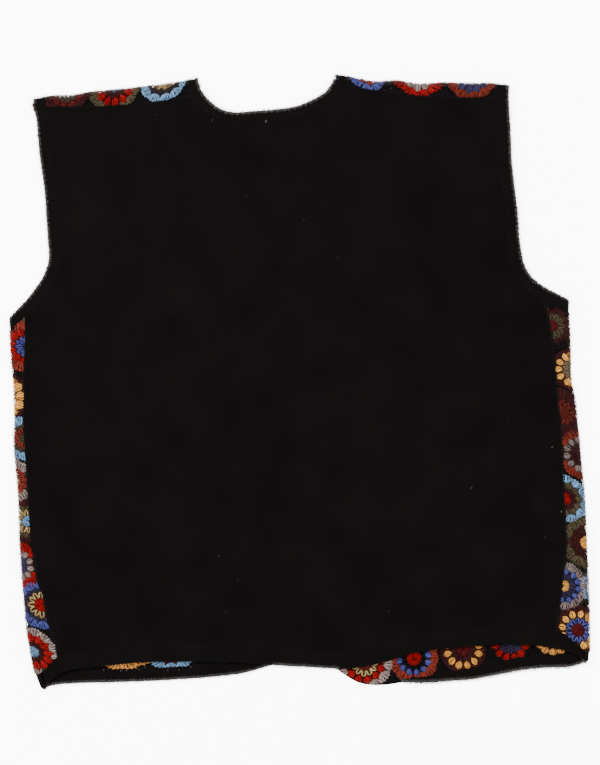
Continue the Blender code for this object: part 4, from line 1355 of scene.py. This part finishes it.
# Hairs of each band: how many to a millimetre on top and below, how long they are.
BAND_HAIRS = {"armhole_rib_left": (14.0, 8.0, 2.3), "armhole_rib_right": (14.0, 8.0, 2.5),
              "neck_rib": (19.0, 1.0, 2.7), "hem_rib_back": (18.0, 0.0, 2.6),
              "hem_rib_front_left": (17.0, 17.0, 2.3), "hem_rib_front_right": (21.0, 21.0, 3.2)}
BAND_LENGTHS = (0.5, 1.4)
BEND_HAIRS = 16
FOLD_HAIRS = 26.0
FOLD_LEAN = 0.9
TOP_HAIRS = 0.12
ROUND_LENGTHS = (0.6, 2.3)
# Lint: x, y, length, way that it lies in degrees, how far it bends, how pale it is.
LINT = [(-30.0, 236.2, 2.4, 70, 0.9, 0.100), (156.4, -96.9, 2.0, 60, 0.8, 0.055),
        (205.3, -229.8, 4.2, 12, 0.4, 0.050), (229.5, -59.6, 1.6, 40, 0.2, 0.120),
        (238.0, -118.0, 1.5, 100, 0.2, 0.160), (-79.0, 237.0, 3.0, 68, 0.1, 0.034),
        (-5.6, 241.2, 1.7, 75, 0.1, 0.030), (-130.0, 242.2, 1.3, 20, 0.1, 0.045),
        (83.2, 266.2, 1.3, 30, 0.1, 0.050), (189.8, 155.1, 2.2, 80, 0.3, 0.024),
        (4.1, 147.0, 2.0, 15, 0.3, 0.022), (35.0, 112.4, 2.3, 130, 0.4, 0.022),
        (-73.3, -158.8, 2.2, 50, 0.3, 0.024), (-56.0, -180.6, 1.7, 100, 0.3, 0.022),
        (-66.9, -209.8, 1.7, 20, 0.2, 0.028), (188.8, -33.2, 2.0, 60, 0.2, 0.020),
        (168.8, -187.9, 2.4, 150, 0.5, 0.022), (81.4, -208.8, 2.0, 0, 0.3, 0.022),
        (-47.8, 167.9, 3.0, 55, 0.9, 0.018), (-87.8, 168.8, 1.8, 95, 0.2, 0.018),
        (223.4, -141.5, 2.2, 120, 0.3, 0.026), (-219.3, -222.9, 1.6, 10, 0.2, 0.022)]
# Loose picks of pale yarn under the rims at the left front's hem.
PICKS = [(-177.9, -262.3), (-162.4, -263.0), (-157.0, -262.7), (-146.0, -261.8), (-140.6, -259.9),
         (-119.7, -262.2), (-109.7, -262.0), (-99.0, -259.5)]
PICK_LONG = 0.9
PICK_TURN = 40
PICK_BEND = 0.2
PICK_PALE = 0.11
PICK_RISE = 0.7
LINT_WIDE = 0.2
LINT_RISE = 0.25
LINT_TINT = (1.0, 0.93, 0.88)


def hairs(name, roots, ways, lengths, colours, tips, chance):
    """Tapering fibres, three sides each: straight short ones and a few long ones that curl."""
    ways = unit(ways)
    long = lengths > np.quantile(lengths, 1 - LONG_HAIRS)
    straight_cells = ((0, 2, 1), (0, 1, 3), (1, 2, 3), (2, 0, 3))
    bent_cells = ((0, 2, 1), (0, 1, 4, 3), (1, 2, 5, 4), (2, 0, 3, 5), (3, 4, 6), (4, 5, 6), (5, 3, 6))
    corners, faces, shades, first = [], [], [], 0
    for some, shares, cells in ((~long, (0.0,), straight_cells), (long, (0.0, HAIR_BEND), bent_cells)):
        root, way, length = roots[some], ways[some], lengths[some, None]
        across = unit(np.cross(way, chance.normal(0, 1, (len(root), 3))))
        above = np.cross(across, way)
        curl = chance.normal(0, CURL, (len(root), 1)) * length * (len(shares) > 1)
        rings = []
        for share in shares:
            centre = root + way * share * length + above * curl * share ** 2
            for turn in range(3):
                lean = math.tau * turn / 3
                rings.append(centre + (1 - HAIR_TAPER * share) * HAIR_WIDE
                             * (across * math.cos(lean) + above * math.sin(lean)))
        rings.append(root + way * length + above * curl)
        corners.append(np.stack(rings, axis=1).reshape(-1, 3))
        faces += [tuple(first + len(rings) * k + corner for corner in cell)
                  for k in range(len(root)) for cell in cells]
        rise = np.array([*np.repeat(shares, 3), 1.0])[:, None]
        light = chance.uniform(*HAIR_LIGHT, (len(root), 1, 1))
        shade = colours[some, None] * (1 - rise) + tips[some, None] * rise
        shades.append(np.concatenate([shade[..., :3] * light, shade[..., 3:]], axis=2).reshape(-1, 4))
        first += len(corners[-1])
    piece = made_piece(name, np.vstack(corners), faces, crochet_wool,
                       {"wool": ("FLOAT_COLOR", np.vstack(shades))})
    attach(piece, "root")


chance = np.random.default_rng(77)
for name, (edge, inward, up, width, lit, run) in FREE_EDGES.items():
    shown, unseen, long = BAND_HAIRS[name]
    weight = np.where(edge[:, 2] > 2 * UNDER, shown, unseen) * lit
    count = round(run * weight.mean())
    at = chance.choice(len(edge), count, p=weight / weight.sum())
    aside = np.cross(inward[at], up[at])
    depth = HAIR_DEPTH * chance.uniform(0, 1, (count, 1)) ** 1.4
    outermost = depth < EDGE_DEPTH
    above = np.where(outermost, chance.uniform(-0.25, 0.5, (count, 1)), 0.5) * BAND_WALL
    lean = np.where(outermost, chance.normal(0, EDGE_LEAN, (count, 1)),
                    chance.uniform(*UP_LEAN, (count, 1)))
    roots = edge[at] + inward[at] * (HAIR_START + depth) + up[at] * above
    roots += aside * run / len(edge) * chance.uniform(-0.5, 0.5, (count, 1))
    ways = up[at] * lean - inward[at] + aside * chance.normal(0, 0.5, (count, 1))
    # Hairs nearer the free edge are painted paler, as lit fibres.
    pale = np.exp(-depth / EDGE_FADE) * 0.8
    bend = np.flatnonzero(np.abs(up[:, 2]) < TURNING)
    if len(bend):
        turns = chance.choice(bend, len(bend) * BEND_HAIRS)
        spread = chance.uniform(0, 1, (len(turns), 1)) * width[turns]
        roots = np.vstack([roots, edge[turns] + inward[turns] * spread + up[turns] * 0.5 * BAND_WALL])
        ways = np.vstack([ways, up[turns] + chance.normal(0, SPLAY, (len(turns), 3))])
        # Hairs over a fold are painted paler the more they face sideways.
        pale = np.vstack([pale, 0.6 * (1 - np.abs(up[turns, 2:]))])
        count += len(turns)
    hairs(f"fuzz_{name}", roots, ways, long * chance.uniform(*BAND_LENGTHS, count),
          pale * HAIR_TIP + (1 - pale) * HAIR_ROOT, np.tile(HAIR_TIP, (count, 1)), chance)
for name, turn in TURNS.items():
    rounds, outline = FOLD_WORK[name]
    low, high = outline.min(axis=0), outline.max(axis=0)
    count = round((high - low).sum() * FOLD_HAIRS)
    past = FOLD_LENGTH * (1.15 - 0.85 * chance.uniform(0, 1, count) ** 0.8)
    side = chance.uniform(0, 1, count) < (high - low)[1] / (high - low).sum()
    xs, ys = chance.uniform(low[0], high[0], count), chance.uniform(low[1], high[1], count)
    rolled = np.where(side[:, None], rolled_side(turn, ys, past), rolled_shoulder(turn, xs, past))
    spread = np.array([low + (high - low) * share
                       for share in chance.uniform(0, 1, (round(np.prod(high - low) * TOP_HAIRS), 2))])
    glow = np.vstack([np.where(side[:, None], SIDE_GLOW, SHOULDER_GLOW), np.zeros((len(spread), 4))])
    spots = np.vstack([rolled, spread])
    middle, outward = folded(turn, spots)
    showing = inside(spots, outline) & (outward[:, 2] > FACING_DOWN)
    spots, middle, outward, glow = spots[showing], middle[showing], outward[showing], glow[showing]
    ways = outward + chance.normal(0, SPLAY, outward.shape)
    ways[:, 0] += turn.sign * FOLD_LEAN * (glow[:, 0] == SIDE_GLOW[0])
    ways[:, 1] += FOLD_LEAN * (glow[:, 0] == SHOULDER_GLOW[0])
    wools = ground_colours(spots, rounds, shaded=False)
    # Painted light on the fold hairs, strongest where they face sideways, and more again at their tips.
    painted_light = PAINTED_FOLD_LIGHT * ((1 - np.abs(outward[:, 2:])) * glow)
    hairs(f"fuzz_rounds_{name}", middle + outward * ROOT_RISE, ways,
          chance.uniform(*ROUND_LENGTHS, len(spots)), wools + painted_light,
          wools * (0.8, 0.8, 0.8, 1.0) + TIP_GLOW * glow + painted_light, chance)

strands = []
bits = [(x, y, top_height(np.array([(x, y)]))[0] + KNIT_WALL / 2, long, lie, bend, pale)
        for x, y, long, lie, bend, pale in LINT]
bits += [(x, y, UNDER + CROCHET_WALL / 2 + PICK_RISE, PICK_LONG, PICK_TURN * k, PICK_BEND, PICK_PALE)
         for k, (x, y) in enumerate(PICKS)]
for x, y, z, long, lie, bend, pale in bits:
    way = np.array([math.cos(math.radians(lie)), math.sin(math.radians(lie))])
    aside = np.array([-way[1], way[0]])
    path = [(*((x, y) + way * long * t + aside * bend * (1 - 4 * t * t)), z + LINT_RISE)
            for t in (-0.5, -0.25, 0.0, 0.25, 0.5)]
    strands.append(strand(path, LINT_WIDE, 0))
corners, faces, facts = joined(strands)
shades = np.array([(*(pale * tint for tint in LINT_TINT), 1) for *_, pale in bits])
piece = wool_piece("lint", corners, sum(faces, []), shades[facts[:, 5].astype(int)], facts[:, :3])
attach(piece, "root")

low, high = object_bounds()
